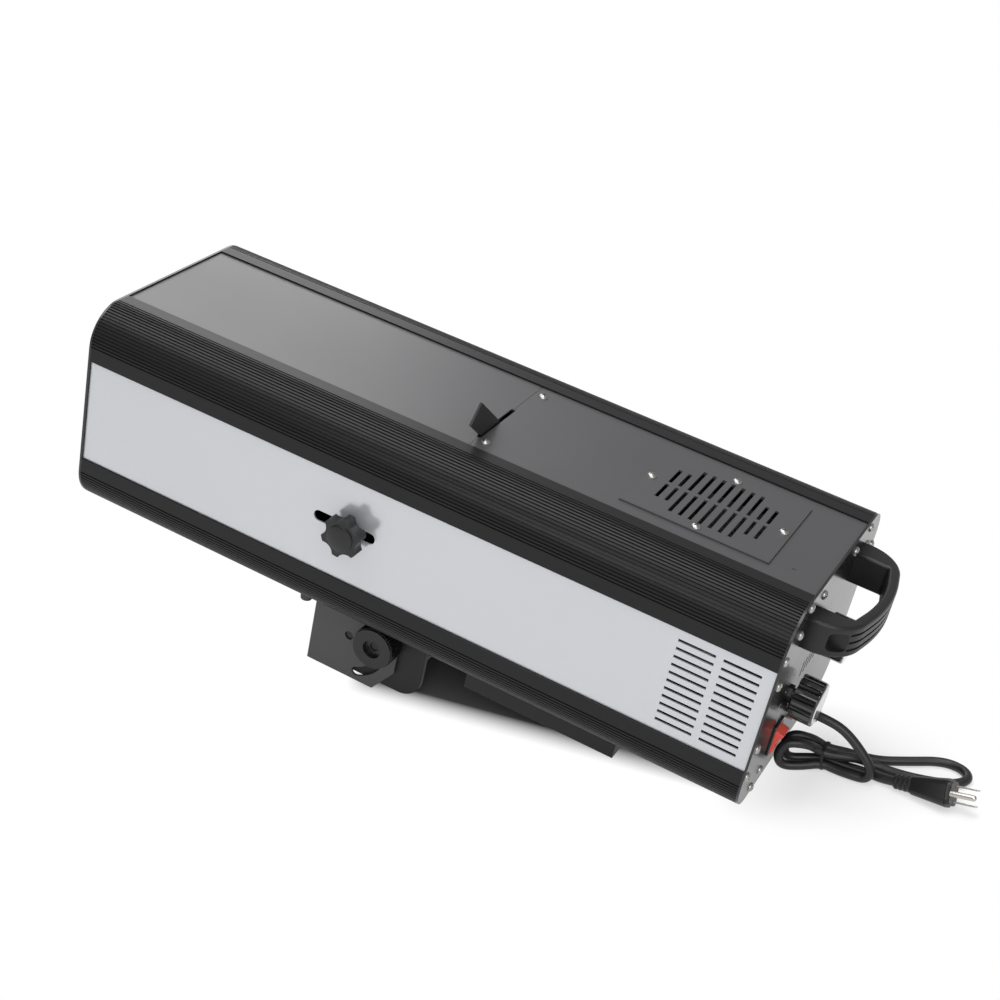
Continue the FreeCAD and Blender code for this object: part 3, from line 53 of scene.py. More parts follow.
# %% [markdown]
# ## Three small helpers
# In Blender a mesh or curve is only data until an object shows it in the scene. These helpers do the steps that
# come back in many cells: link new data as an object, turn a bmesh into a mesh, and freeze what modifiers give.

# %% Helpers for objects and meshes
def add_object(name, data):
    """Data shown in the scene as a new object."""
    shown = bpy.data.objects.new(name, data)
    bpy.context.scene.collection.objects.link(shown)
    return shown


def mesh_of(name, shape):
    """A bmesh written into a new mesh, and freed."""
    mesh = bpy.data.meshes.new(name)
    shape.to_mesh(mesh)
    shape.free()
    return mesh


def frozen(holder):
    """What an object's curve or modifiers give, as a plain mesh. The object itself is removed."""
    bpy.context.view_layer.update()
    mesh = bpy.data.meshes.new_from_object(holder.evaluated_get(bpy.context.evaluated_depsgraph_get()))
    bpy.data.objects.remove(holder)
    return mesh


print("helpers are ready")

# %% [markdown]
# ## The lamp's own frame
# The lamp house lies on the floor with its nose pitched up by about 13 degrees, so its walls are square to
# nothing in Blender's world. Drawing each detail in a frame that leans with the lamp keeps the numbers simple:
# x runs along the beam from the rear panel's face, y to the lamp's left, z up from the beam's axis. The joints
# in the record say where that frame lies, so nothing has to be typed twice.

# %% The lamp's frame
beam = Vector(joints["focus_slide"]["axis"]).normalized()
across = Vector((0, 1, 0))
rise = beam.cross(across)
LEVER_X, LEVER_Z = 302.3, 70.5
lever_pivot = Vector(joints["dowser_swing"]["pos_m"])
zero = lever_pivot - beam * LEVER_X * MM - rise * LEVER_Z * MM
LAMP = Matrix.Translation(zero) @ Matrix((beam, across, rise)).transposed().to_4x4()
PITCH = math.atan2(beam.z, beam.x)
print("lamp house pitched", round(math.degrees(PITCH), 2), "degrees")

# %% [markdown]
# ## Camera
# The photograph was taken from behind the lamp's left rear corner, looking down at about 26 degrees. We build
# the camera's matrix from its line of sight and its right-hand direction, which is more exact than turning it by
# hand. The lens is a short telephoto, so the long lamp house shows only a little perspective.

# %% Camera
CAMERA_PLACE = Vector((-0.6481, 1.2271, 0.8399))
SIGHT = Vector((0.4124, -0.8015, -0.4331)).normalized()
RIGHT = Vector((-0.8901, -0.4558, -0.0043))
RIGHT = (RIGHT - SIGHT * RIGHT.dot(SIGHT)).normalized()
camera_data = bpy.data.cameras.new("studio_camera")
camera_data.sensor_width, camera_data.lens = 36, 65.4
camera = add_object("studio_camera", camera_data)
camera.matrix_world = (Matrix.Translation(CAMERA_PLACE)
                       @ Matrix((RIGHT, RIGHT.cross(SIGHT), -SIGHT)).transposed().to_4x4())
bpy.context.scene.camera = camera
print("camera elevation", round(math.degrees(math.asin(-SIGHT.z)), 1))

# %% [markdown]
# ## One method for nodes
# Materials and Geometry Nodes are both trees of nodes. `Tree` adds one node to either kind: first its settings,
# such as an operation, then the values or links of its sockets. Its results come back as `Wire` objects, and
# Python's own + - * / work on them, each adding the Math node that it stands for. So `1 - mask` is a node too, but
# a product or a quotient has its wire first, as in `mask * 2`.

# %% Trees and wires
class Wire:
    """An output socket that can be used in sums."""

    def __init__(self, tree, socket):
        self.tree, self.socket = tree, socket

    def sum_of(self, operation, first, second=0.0):
        return self.tree.add("ShaderNodeMath", {"operation": operation}, {0: first, 1: second})

    def __add__(self, other): return self.sum_of("ADD", self, other)
    def __radd__(self, other): return self.sum_of("ADD", other, self)
    def __sub__(self, other): return self.sum_of("SUBTRACT", self, other)
    def __rsub__(self, other): return self.sum_of("SUBTRACT", other, self)
    def __mul__(self, other): return self.sum_of("MULTIPLY", self, other)
    def __truediv__(self, other): return self.sum_of("DIVIDE", self, other)
    def __pow__(self, other): return self.sum_of("POWER", self, other)
    def __abs__(self): return self.sum_of("ABSOLUTE", self)
    def __lt__(self, other): return self.sum_of("LESS_THAN", self, other)
    def __gt__(self, other): return self.sum_of("GREATER_THAN", self, other)
    def sine(self): return self.sum_of("SINE", self)
    def at_least(self, low): return self.sum_of("MAXIMUM", self, low)
    def clipped(self): return self.sum_of("MINIMUM", self, 1.0).at_least(0.0)


class Tree:
    """A node tree, of a material or of geometry, that grows by one method."""

    def __init__(self, nodes_of):
        self.tree = nodes_of
        self.tree.nodes.clear()

    def add(self, kind, settings=None, sockets=None, out=0):
        node = self.tree.nodes.new(kind)
        for name, value in (settings or {}).items():
            setattr(node, name, value)
        for name, value in (sockets or {}).items():
            if isinstance(value, Wire):
                self.tree.links.new(value.socket, node.inputs[name])
            else:
                node.inputs[name].default_value = value
        return node if out is None else Wire(self, node.outputs[out])

    def vector(self, operation, sockets, out="Vector"):
        return self.add("ShaderNodeVectorMath", {"operation": operation}, sockets, out)

    def xyz(self, x=0.0, y=0.0, z=0.0):
        """A vector from three numbers."""
        return self.add("ShaderNodeCombineXYZ", {}, {"X": x, "Y": y, "Z": z})

    def split(self, vector):
        """The three numbers of a vector."""
        return [Wire(self, socket) for socket in self.add("ShaderNodeSeparateXYZ", {}, {0: vector}, None).outputs]


print("Tree and Wire are ready")

# %% [markdown]
# ## Finishes
# A painted, moulded or plated surface is never one flat colour: it has the grain of its making, and its gloss
# wanders a little. `Finish` starts every material from the same three measurements on the piece: where a point
# is, a fine grain, and a slow drift. All of them read Object coordinates, which move with the piece. Numbers that
# are the same all over a surface go straight onto the shader.

# %% The Finish class
class Finish(Tree):
    """A material with one Principled shader."""

    def __init__(self, name):
        self.material = bpy.data.materials.new(name)
        self.material.use_nodes = True
        super().__init__(self.material.node_tree)
        self.place = self.add("ShaderNodeTexCoord", out="Object")

    def leaned(self, scale):
        """Object coordinates turned into the lamp's frame, and stretched."""
        level = self.add("ShaderNodeMapping", {"vector_type": "POINT"},
                         {"Vector": self.place, "Rotation": (0, PITCH, 0)}, "Vector")
        return self.add("ShaderNodeMapping", {"vector_type": "POINT"}, {"Vector": level, "Scale": scale}, "Vector")

    def noise(self, scale, detail=2.0, rough=0.5, where=None):
        sockets = {"Vector": where or self.place, "Scale": scale, "Detail": detail, "Roughness": rough}
        return self.add("ShaderNodeTexNoise", {"noise_dimensions": "3D"}, sockets, "Fac")

    def tint(self, low, high, share):
        """A colour between two others."""
        mix = self.add("ShaderNodeMix", {"data_type": "RGBA"}, {0: share, 6: (*low, 1), 7: (*high, 1)}, None)
        return Wire(self, mix.outputs[2])

    def bump(self, height, depth):
        """A surface normal from a height, in metres of depth."""
        return self.add("ShaderNodeBump", {}, {"Height": height, "Distance": depth, "Strength": 1.0}, "Normal")

    def shade(self, **sockets):
        """The Principled shader, and the material's output."""
        named = {name.replace("_", " ").title().replace("Ior", "IOR"): value for name, value in sockets.items()}
        for name, value in named.items():
            if isinstance(value, tuple):
                named[name] = (*value, 1)
        shader = self.add("ShaderNodeBsdfPrincipled", {}, named)
        self.add("ShaderNodeOutputMaterial", {}, {"Surface": shader}, None)
        return self.material


def shades(colour, lighter=1.0, darker=1.0):
    """Two versions of a linear colour."""
    return tuple(c * darker for c in colour), tuple(min(1, c * lighter) for c in colour)


print("Finish is ready")

# %% [markdown]
# ## Powder coat, anodising and sheet paint
# The covers, ears and yoke are powder-coated: a fine orange-peel skin, satin, with a faint cloudiness. The
# corner rails are anodised after extrusion, so they keep faint lines along their length. The side panels carry a
# pale metallic paint that mirrors its surroundings softly, and the two end panels are gloss black.

# %% Painted sheet and rails
def powder_coat(name, colour, roughness, peel=0.00002, shine=0.5):
    finish = Finish(name)
    cloud = finish.noise(9, 3)
    grain = finish.noise(900, 2)
    dark, light = shades(colour, 1.14, 0.88)
    return finish.shade(base_color=finish.tint(dark, light, cloud * 0.6 + grain * 0.4),
                        roughness=roughness + (cloud - 0.5) * 0.10 + (grain - 0.5) * 0.05,
                        normal=finish.bump(grain, peel), specular_ior_level=shine)


def anodised(name, colour, roughness, shine):
    finish = Finish(name)
    lines = finish.noise(1200, 2, 0.6, finish.leaned((0.01, 1, 1)))
    cloud = finish.noise(12, 2)
    dark, light = shades(colour, 1.3, 0.75)
    return finish.shade(base_color=finish.tint(dark, light, lines * 0.7 + cloud * 0.3),
                        roughness=roughness + (lines - 0.5) * 0.12, normal=finish.bump(lines, 0.000012),
                        specular_ior_level=shine)


def metallic_paint(name, colour, roughness):
    finish = Finish(name)
    flake = finish.noise(2600, 1)
    cloud = finish.noise(5, 2)
    dark, light = shades(colour, 1.06, 0.94)
    return finish.shade(base_color=finish.tint(dark, light, flake * 0.6 + cloud * 0.4), metallic=0.55,
                        roughness=roughness + (cloud - 0.5) * 0.06 + (flake - 0.5) * 0.04,
                        normal=finish.bump(flake, 0.000006), coat_weight=0.25, coat_roughness=0.12)


# Copies of one black powder coat: the covers' is a little lighter, partly painted sheen. The driver box's,
# underside's, yoke's and bulkheads' is about four times darker than the ears', partly painted shade for where they
# sit.
cover_coat = powder_coat("charcoal_powder_coat", (0.052, 0.052, 0.055), 0.38)
ear_coat = powder_coat("grey_black_powder_coat", (0.045, 0.045, 0.047), 0.5)
shade_darkened_coat = powder_coat("black_powder_coat", (0.011, 0.011, 0.0115), 0.5, shine=0.3)
end_paint = powder_coat("gloss_black_paint", (0.012, 0.012, 0.0125), 0.24, 0.000002)
rail_skin = anodised("black_anodised_rail", (0.009, 0.009, 0.0093), 0.36, 0.2)
side_paint = metallic_paint("silver_side_paint", (0.5, 0.51, 0.535), 0.2)
print("sheet finishes:", cover_coat.name, rail_skin.name, side_paint.name)

# %% [markdown]
# ## Metals, plastics, rubber and glass
# Plated screws are bright with a slight brushing. Turned pieces show rings round their axis. Moulded nylon has a
# sparkle of texture etched into its mould, while dials are polished. The lead's rubber is dull and faintly mottled.

# %% Metals, plastics and rubber
def plated(name, colour, roughness, metallic=1.0):
    finish = Finish(name)
    scratch = finish.noise(700, 4, 0.6)
    dark, light = shades(colour, 1.05, 0.85)
    return finish.shade(base_color=finish.tint(dark, light, scratch), metallic=metallic,
                        roughness=roughness + (scratch - 0.5) * 0.14, normal=finish.bump(scratch, 0.000008))


def moulded(name, colour, roughness, grain=0.00003, scale=1400, coat=0.0, shine=0.5):
    finish = Finish(name)
    spark = finish.noise(scale, 2)
    cloud = finish.noise(30, 2)
    dark, light = shades(colour, 1.2, 0.85)
    return finish.shade(base_color=finish.tint(dark, light, cloud * 0.5 + spark * 0.5),
                        roughness=roughness + (spark - 0.5) * 0.12 + (cloud - 0.5) * 0.06,
                        normal=finish.bump(spark, grain), coat_weight=coat, coat_roughness=0.1,
                        specular_ior_level=shine)


RINGS_PER_METRE = 900


def spun(name, colour, roughness, centre):
    """Turned metal: rings round an axis along the beam through a point of the lamp's frame."""
    finish = Finish(name)
    offset = finish.vector("SUBTRACT", {0: finish.place, 1: LAMP @ (Vector(centre) * MM)})
    side = finish.vector("CROSS_PRODUCT", {0: offset, 1: beam})
    reach = finish.vector("LENGTH", {0: side}, "Value")
    ring = (reach * (RINGS_PER_METRE * 2 * math.pi)).sine() * 0.5 + 0.5
    grain = finish.noise(1500, 2)
    dark, light = shades(colour, 1.08, 0.85)
    return finish.shade(base_color=finish.tint(dark, light, ring * 0.5 + grain * 0.5), metallic=1.0,
                        roughness=roughness + (ring - 0.5) * 0.12, normal=finish.bump(ring, 0.00001))


def clear_glass(name):
    finish = Finish(name)
    dust = finish.noise(60, 4)
    return finish.shade(base_color=(0.97, 0.985, 0.985), transmission_weight=1.0, ior=1.52,
                        roughness=(dust - 0.45).clipped() * 0.15)


def solder_mask(name):
    finish = Finish(name)
    track = finish.noise(160, 1)
    mask = (track > 0.52) * 1.0
    return finish.shade(base_color=finish.tint((0.01, 0.09, 0.03), (0.02, 0.16, 0.05), mask),
                        roughness=0.3 + mask * 0.1, normal=finish.bump(mask, 0.00003))


screw_metal = plated("zinc_plated_steel", (0.40, 0.39, 0.37), 0.3)
nickel = plated("nickel_plate", (0.52, 0.50, 0.46), 0.24)
alloy = plated("plain_aluminium", (0.72, 0.72, 0.73), 0.36)
black_alloy = plated("black_anodised_alloy", (0.03, 0.03, 0.03), 0.4, 0.4)
# Near-black steel for the tilt pins and locking bolts, whose ends sit down in recesses.
black_steel = plated("blackened_steel", (0.012, 0.012, 0.012), 0.35, 0.3)
nylon = moulded("black_moulded_nylon", (0.009, 0.009, 0.0093), 0.42, shine=0.35)
knob_nylon = moulded("polished_black_nylon", (0.006, 0.006, 0.0062), 0.2, 0.000004, 900, shine=0.4)
dial_plastic = moulded("polished_black_plastic", (0.008, 0.008, 0.008), 0.08, 0.000002, 400, 0.5)
rocker_red = moulded("red_rocker_plastic", (0.66, 0.075, 0.05), 0.4, 0.000003, 400)
lead_rubber = moulded("black_rubber_sheath", (0.011, 0.011, 0.0115), 0.4, 0.00003, 500, shine=0.4)
plug_rubber = moulded("black_moulded_plug", (0.007, 0.007, 0.007), 0.36, 0.00002, 900, shine=0.4)
foot_rubber = moulded("black_foot_rubber", (0.03, 0.03, 0.03), 0.6, 0.00004, 900)
white_ink = moulded("white_print", (0.75, 0.75, 0.74), 0.5, 0.00001, 900)
lens_glass = clear_glass("clear_lens_glass")
board_green = solder_mask("green_solder_mask")
print(len(bpy.data.materials), "finishes")

# %% [markdown]
# ## From a solid to a finished piece
# A CAD solid has knife-sharp edges and comes as loose triangles. Real sheet metal and mouldings have a small
# radius everywhere, and it is that radius which catches the light. `dress` copies a solid's mesh, merges its
# triangles back into flat faces, and lets the Bevel modifier round each edge that is sharper than 25 degrees.
# Everything between such edges is shaded smooth. A piece with no rounding, such as a flat cover, is shaded flat
# instead, because smooth shading would drag a gradient over its long thin faces. The piece then stands in for its
# solid, which stays hidden for the physics.

# %% Dressing a solid
BODY_OF = {node: body for body, nodes in frame["record"]["behaviour"]["bodies"].items() for node in nodes}
SLOT_OF = {row["node"]: row["material_slot"] for row in frame["record"]["subparts"]}
CORNER, WELD, SAME_PLANE = math.radians(25), 0.000002, math.radians(0.6)


def place_piece(name, mesh, material, body, slot, nodes=()):
    """A finished mesh as an object that rides on a body, and stands for solids if there are any."""
    piece = add_object(name, mesh)
    mesh.materials.clear()
    mesh.materials.append(material)
    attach(piece, body)
    if nodes:
        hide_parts(*nodes)
    return piece


def merged_copy(node):
    """A solid's mesh with its triangles merged into flat, convex faces."""
    shape = bmesh.new()
    shape.from_mesh(frame["nodes"][node].data)
    bmesh.ops.remove_doubles(shape, verts=shape.verts, dist=WELD)
    bmesh.ops.dissolve_limit(shape, angle_limit=SAME_PLANE, verts=shape.verts, edges=shape.edges)
    bmesh.ops.connect_verts_concave(shape, faces=shape.faces)
    return mesh_of(node, shape)


def dress(node, name, material, edge, segments=2):
    """A solid's copy with its edges rounded by `edge` millimetres, standing in for the solid."""
    mesh = merged_copy(node)
    if edge:
        mesh.set_sharp_from_angle(angle=CORNER)
    else:
        mesh.shade_flat()
    piece = place_piece(name, mesh, material, BODY_OF[node], SLOT_OF[node], [node])
    if edge:
        bevel = piece.modifiers.new("rounded edges", "BEVEL")
        bevel.width, bevel.segments = edge * MM, segments
        bevel.limit_method, bevel.angle_limit = "ANGLE", CORNER
        bevel.miter_outer, bevel.use_clamp_overlap = "MITER_ARC", True
    return piece


print("bodies:", ", ".join(sorted(set(BODY_OF.values()))))

# %% [markdown]
# ## Mains lead
# The lead leaves the gland on the rear panel, drops to the floor and is folded to and fro under a tie, with its
# plug at the end. A cord is one smooth curve through the places where it bends, so we give a NURBS spline those
# places as its control points and let the curve's own bevel make the round sheath. The points are in metres and
# follow the CAD step's route, except that the bends near the switch were moved by up to 13 mm.

# %% Mains lead
CORD = 7.8
GLAND_END = LAMP @ Vector((-0.024, 0.017, -0.0385))
FIRST_RUN = LAMP @ Vector((-0.0342, 0.017, -0.0385))
CORD_ROUTE = [
    (-0.3295, 0.0075, 0.0428), (-0.3415, 0.0080, 0.0320), (-0.3560, 0.0100, 0.0145), (-0.3515, 0.0100, 0.0040),
    (-0.3385, 0.0095, 0.0040), (-0.3255, 0.0075, 0.0040), (-0.3135, 0.0060, 0.0058), (-0.2980, 0.0150, 0.0040),
    (-0.2830, 0.0210, 0.0040), (-0.2800, 0.0220, 0.0150), (-0.2860, 0.0205, 0.0265), (-0.3015, 0.0135, 0.0250),
    (-0.3065, 0.0055, 0.0185), (-0.3135, 0.0035, 0.0135), (-0.3265, 0.0005, 0.0130), (-0.3405, -0.0050, 0.0120),
    (-0.3515, -0.0100, 0.0060), (-0.3635, -0.0100, 0.0040), (-0.3815, -0.0090, 0.0040), (-0.4015, -0.0110, 0.0040),
    (-0.4185, -0.0160, 0.0040), (-0.4260, -0.0280, 0.0040), (-0.4165, -0.0400, 0.0040), (-0.3985, -0.0430, 0.0040),
    (-0.3755, -0.0310, 0.0040), (-0.3515, -0.0190, 0.0045), (-0.3295, -0.0105, 0.0110), (-0.3135, -0.0055, 0.0135),
    (-0.3070, -0.0045, 0.0175), (-0.3015, 0.0010, 0.0235), (-0.2870, 0.0070, 0.0275), (-0.2805, 0.0090, 0.0160),
    (-0.2835, 0.0085, 0.0040), (-0.2990, 0.0010, 0.0040), (-0.3135, -0.0025, 0.0058), (-0.3295, -0.0010, 0.0040),
    (-0.3435, 0.0000, 0.0040), (-0.3540, 0.0010, 0.0040), (-0.3637, 0.0046, 0.0050), (-0.3735, 0.0060, 0.0065)]
route = [GLAND_END, FIRST_RUN] + [Vector(point) for point in CORD_ROUTE]
lead_curve = bpy.data.curves.new("mains_lead", "CURVE")
lead_curve.dimensions = "3D"
lead_curve.bevel_depth, lead_curve.bevel_resolution, lead_curve.resolution_u = CORD / 2 * MM, 6, 8
spline = lead_curve.splines.new("NURBS")
spline.points.add(len(route) - 1)
for point, place in zip(spline.points, route):
    point.co = (*place, 1)
spline.order_u = 3
spline.use_endpoint_u = True
mains_lead = add_object("mains_lead", lead_curve)
lead_curve.materials.append(lead_rubber)
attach(mains_lead, "housing")
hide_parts("cord_lead", "cord_hank")
runs = sum((b - a).length for a, b in zip(route, route[1:]))
print("route of", len(route), "points,", round(runs, 3), "m of runs")

# %% [markdown]
# The tie and the moulded plug keep their solids' shapes with soft edges.

# %% Tie, plug and the cord's facts
cable_tie = dress("cable_tie", "lead_tie", nylon, 0.3)
plug_body = dress("plug_body", "mains_plug", plug_rubber, 1.0, 3)
plug_prongs = dress("plug_prongs", "plug_blades_and_pin", nickel, 0.2)

# %% [markdown]
# ## Corner rails with Geometry Nodes
# Each corner of the lamp house is one aluminium extrusion: a quarter round with nineteen ribs, a lip and a band.
# An extrusion is a section pulled along a line, so we draw the section once without ribs and let Geometry Nodes
# do the rest. The tree presses the quarter round's points inwards by a wave that repeats once per rib, fills the
# outline, and extrudes it. Because the ribs are a rule, their number and depth stay plain inputs of the tree.

# %% A class for Geometry Nodes trees
class ShapeTree(Tree):
    """A Geometry Nodes tree with named inputs, the last of them the finish of what it makes."""

    def __init__(self, name, **inputs):
        group = bpy.data.node_groups.new(name, "GeometryNodeTree")
        super().__init__(group)
        group.interface.new_socket("Geometry", in_out="INPUT", socket_type="NodeSocketGeometry")
        group.interface.new_socket("Geometry", in_out="OUTPUT", socket_type="NodeSocketGeometry")
        self.identifiers = {}
        for label, kind in {**inputs, "Finish": "Material"}.items():
            socket = group.interface.new_socket(label, in_out="INPUT", socket_type="NodeSocket" + kind)
            self.identifiers[label] = socket.identifier
        self.entry = self.tree.nodes.new("NodeGroupInput")

    def given(self, label):
        return Wire(self, self.entry.outputs[label])

    def joined(self, *shapes):
        node = self.tree.nodes.new("GeometryNodeJoinGeometry")
        for shape in shapes:
            self.tree.links.new(shape.socket, node.inputs[0])
        return Wire(self, node.outputs[0])

    def copies(self, shape, points, **sockets):
        """A copy of a shape at each point."""
        return self.add("GeometryNodeInstanceOnPoints", {}, {"Points": points, "Instance": shape, **sockets},
                        "Instances")

    def named(self, name, kind):
        """A value that each point of the seed mesh carries."""
        return self.add("GeometryNodeInputNamedAttribute", {"data_type": kind}, {"Name": name}, "Attribute")

    def finish(self, shape):
        """Make the copies real, paint them, and end the tree."""
        real = self.add("GeometryNodeRealizeInstances", {}, {"Geometry": shape})
        painted = self.add("GeometryNodeSetMaterial", {}, {"Geometry": real, "Material": self.given("Finish")})
        self.add("NodeGroupOutput", {}, {"Geometry": painted}, None)

    def grow(self, name, seed_mesh, **values):
        """Run the tree on a mesh or curve and return the result as a plain mesh."""
        holder = add_object(name, seed_mesh)
        modifier = holder.modifiers.new(name, "NODES")
        modifier.node_group = self.tree
        for label, value in values.items():
            modifier[self.identifiers[label]] = value
        grown = frozen(holder)
        grown.name = name
        return grown


GROOVE_SHARE, GROOVE_STEEPNESS, ON_ROUND, WELD_SECTION = 0.42, 6.0, 0.00002, 1e-6


def rail_tree():
    tree = ShapeTree("Ribbed rail", Ribs="Int", Depth="Float", Radius="Float", Centre="Vector", Length="Float")
    out = tree.vector("SUBTRACT", {0: tree.add("GeometryNodeInputPosition"), 1: tree.given("Centre")})
    reach = tree.vector("LENGTH", {0: out}, "Value")
    away = tree.vector("NORMALIZE", {0: out})
    x, y, _ = tree.split(out)
    turn = tree.add("ShaderNodeMath", {"operation": "ARCTAN2"}, {0: abs(y), 1: abs(x)})
    wave = (turn * tree.given("Ribs") * 4.0 + math.pi / 2).sine() * 0.5 + 0.5
    groove = ((GROOVE_SHARE - wave) * GROOVE_STEEPNESS).clipped()
    press = (abs(reach - tree.given("Radius")) < ON_ROUND) * groove * tree.given("Depth")
    inward = tree.vector("SCALE", {0: away, "Scale": press * -1.0})
    ribbed = tree.add("GeometryNodeSetPosition", {}, {"Geometry": tree.given("Geometry"), "Offset": inward})
    face = tree.add("GeometryNodeFillCurve", {"mode": "NGONS"}, {"Curve": ribbed})
    pulled = tree.add("GeometryNodeExtrudeMesh", {"mode": "FACES"},
                      {"Mesh": face, "Offset": tree.xyz(z=tree.given("Length")), "Offset Scale": 1.0,
                       "Individual": False})
    start = tree.add("GeometryNodeFlipFaces", {}, {"Mesh": face})
    tree.finish(tree.add("GeometryNodeMergeByDistance", {},
                         {"Geometry": tree.joined(pulled, start), "Distance": WELD_SECTION}))
    return tree


ribbed_rail = rail_tree()
print("tree:", ribbed_rail.tree.name, "with", len(ribbed_rail.tree.nodes), "nodes")

# %% [markdown]
# The section below is the upper left rail's, in the lamp's y and z. Its quarter round gets eight points to a rib,
# so that the wave has something to move. The other three rails are the same section with its signs changed.

# %% Rail section and the four rails
HALF_WIDTH, HALF_HEIGHT, ROUND = 115.0, 95.5, 34.5
FLAT_Y, FLAT_Z = HALF_WIDTH - ROUND, HALF_HEIGHT - ROUND
LIP_EDGE, BAND_END, WALL = FLAT_Y - 12.0, FLAT_Z - 12.5, 2.5
PANEL_BACK, COVER_UNDER = HALF_WIDTH - 3.3, HALF_HEIGHT - 3.0
RIBS, RIB_STEPS, RIB_DEPTH, INNER_STEPS = 19, 8, 1.2, 24
HOOK, HOOK_WALL = 8.0, 2.0
RAIL_START, RAIL_LENGTH, RAIL_CORNER = 2.0, 636.0, math.radians(40)


def arc_points(radius, start, end, steps):
    turns = [math.radians(start + (end - start) * i / steps) for i in range(steps + 1)]
    return [(FLAT_Y + radius * math.cos(t), FLAT_Z + radius * math.sin(t)) for t in turns]


SECTION = ([(LIP_EDGE, HALF_HEIGHT)] + arc_points(ROUND, 90, 0, RIBS * RIB_STEPS)
           + [(HALF_WIDTH, BAND_END), (PANEL_BACK, BAND_END), (PANEL_BACK, BAND_END - HOOK),
              (PANEL_BACK - HOOK_WALL, BAND_END - HOOK), (PANEL_BACK - HOOK_WALL, BAND_END + WALL),
              (HALF_WIDTH - WALL, BAND_END + WALL)]
           + arc_points(ROUND - WALL, 0, 90, INNER_STEPS)
           + [(LIP_EDGE + WALL, HALF_HEIGHT - WALL), (LIP_EDGE + WALL, COVER_UNDER - HOOK_WALL),
              (LIP_EDGE - HOOK, COVER_UNDER - HOOK_WALL), (LIP_EDGE - HOOK, COVER_UNDER), (LIP_EDGE, COVER_UNDER)])


def section_curve(side, level):
    curve = bpy.data.curves.new("rail_section", "CURVE")
    curve.dimensions = "2D"
    outline = curve.splines.new("POLY")
    outline.points.add(len(SECTION) - 1)
    for point, (y, z) in zip(outline.points, SECTION):
        point.co = (side * y * MM, level * z * MM, 0, 1)
    outline.use_cyclic_u = True
    return curve


SECTION_TO_LAMP = Matrix(((0, 0, 1, RAIL_START * MM), (1, 0, 0, 0), (0, 1, 0, 0), (0, 0, 0, 1)))
for height, level in (("top", 1), ("bottom", -1)):
    for hand, side in (("left", 1), ("right", -1)):
        name = f"ribbed_rail_{height}_{hand}"
        mesh = ribbed_rail.grow(name, section_curve(side, level), Ribs=RIBS, Depth=RIB_DEPTH * MM,
                                Radius=ROUND * MM, Centre=(side * FLAT_Y * MM, level * FLAT_Z * MM, 0),
                                Length=RAIL_LENGTH * MM, Finish=rail_skin)
        mesh.transform(LAMP @ SECTION_TO_LAMP)
        mesh.set_sharp_from_angle(angle=RAIL_CORNER)
        place_piece(name, mesh, rail_skin, "housing", "black_rail", [f"rail_{height}_{hand}"])
        print(name, len(mesh.polygons), "faces")

# %% [markdown]
# ## Covers, panels, ears and the yoke
# These are folded or punched sheets. A plain list names each solid, its finish and the radius of its edges, and
# one loop dresses them all. The flat covers and panels are punched from thin sheet and keep their sharp edges.

# %% Sheet metal
SHEETS = [
    ("top_cover_front", "front_cover", cover_coat, 0), ("top_cover_rear", "rear_cover", cover_coat, 0),
    ("vent_plate", "slotted_vent_plate", cover_coat, 0), ("bottom_panel", "underside_panel", shade_darkened_coat, 0),
    ("side_panel_left", "silver_panel_left", side_paint, 0),
    ("side_panel_right", "silver_panel_right", side_paint, 0),
    ("rear_panel", "rear_end_panel", end_paint, 0), ("front_panel", "front_end_panel", end_paint, 0),
    ("driver_box", "supply_box", shade_darkened_coat, 0.4), ("ear_left", "tilt_ear_left", ear_coat, 0.4),
    ("ear_right", "tilt_ear_right", ear_coat, 0.4), ("yoke", "folded_yoke", shade_darkened_coat, 0.6),
    ("dowser_lever", "dowser_blade", end_paint, 0.25)]
for node, name, material, edge in SHEETS:
    dress(node, name, material, edge)
print(len(SHEETS), "sheets dressed")

# %% [markdown]
# ## The vent's shadow gap
# A thin dark line round the vent plate stands for the shadow in the gap at its edges: painted shade, drawn in the
# feet's dark rubber. It is four flat bars, each a unit cube scaled, moved and, for the short sides, turned by a
# quarter.

# %% Vent shadow gap, painted shade
VENT_X, VENT_LENGTH, VENT_WIDTH, COVER_TOP = 110.0, 128.0, 104.0, 94.0
SHADOW_GAP_EDGE, SHADOW_GAP_BAR, SHADOW_GAP_HEIGHT = 0.6, 1.4, 0.1
# A dark strip of painted shade, standing for the shadow gap round the vent plate.
painted_shadow_gap = bmesh.new()
for half_x, half_y, turned in ((VENT_LENGTH / 2, VENT_WIDTH / 2, False), (VENT_WIDTH / 2, VENT_LENGTH / 2, True)):
    for side in (-1, 1):
        bar = bmesh.ops.create_cube(painted_shadow_gap, size=1)["verts"]
        bmesh.ops.scale(painted_shadow_gap, verts=bar, vec=(2 * (half_x + SHADOW_GAP_EDGE), SHADOW_GAP_BAR, SHADOW_GAP_HEIGHT))
        bmesh.ops.translate(painted_shadow_gap, verts=bar, vec=(0, side * (half_y + SHADOW_GAP_EDGE - SHADOW_GAP_BAR / 2), 0))
        if turned:
            bmesh.ops.rotate(painted_shadow_gap, verts=bar, cent=(0, 0, 0), matrix=Matrix.Rotation(math.pi / 2, 3, "Z"))
painted_shadow_gap_mesh = mesh_of("vent_painted_shadow_gap", painted_shadow_gap)
painted_shadow_gap_mesh.transform(LAMP @ Matrix.Translation(Vector((VENT_X, 0, COVER_TOP)) * MM) @ Matrix.Scale(MM, 4))
place_piece("vent_painted_shadow_gap", painted_shadow_gap_mesh, foot_rubber, "housing", "foot_rubber")
print("gasket drawn with", len(painted_shadow_gap_mesh.polygons), "faces")

# %% [markdown]
# ## Handle, knobs, switch and fittings
# Mouldings have larger radii than sheet. The rear handle, the star knob and the knurled locking wheels are
# nylon, the dials are polished, and the rocker is red.

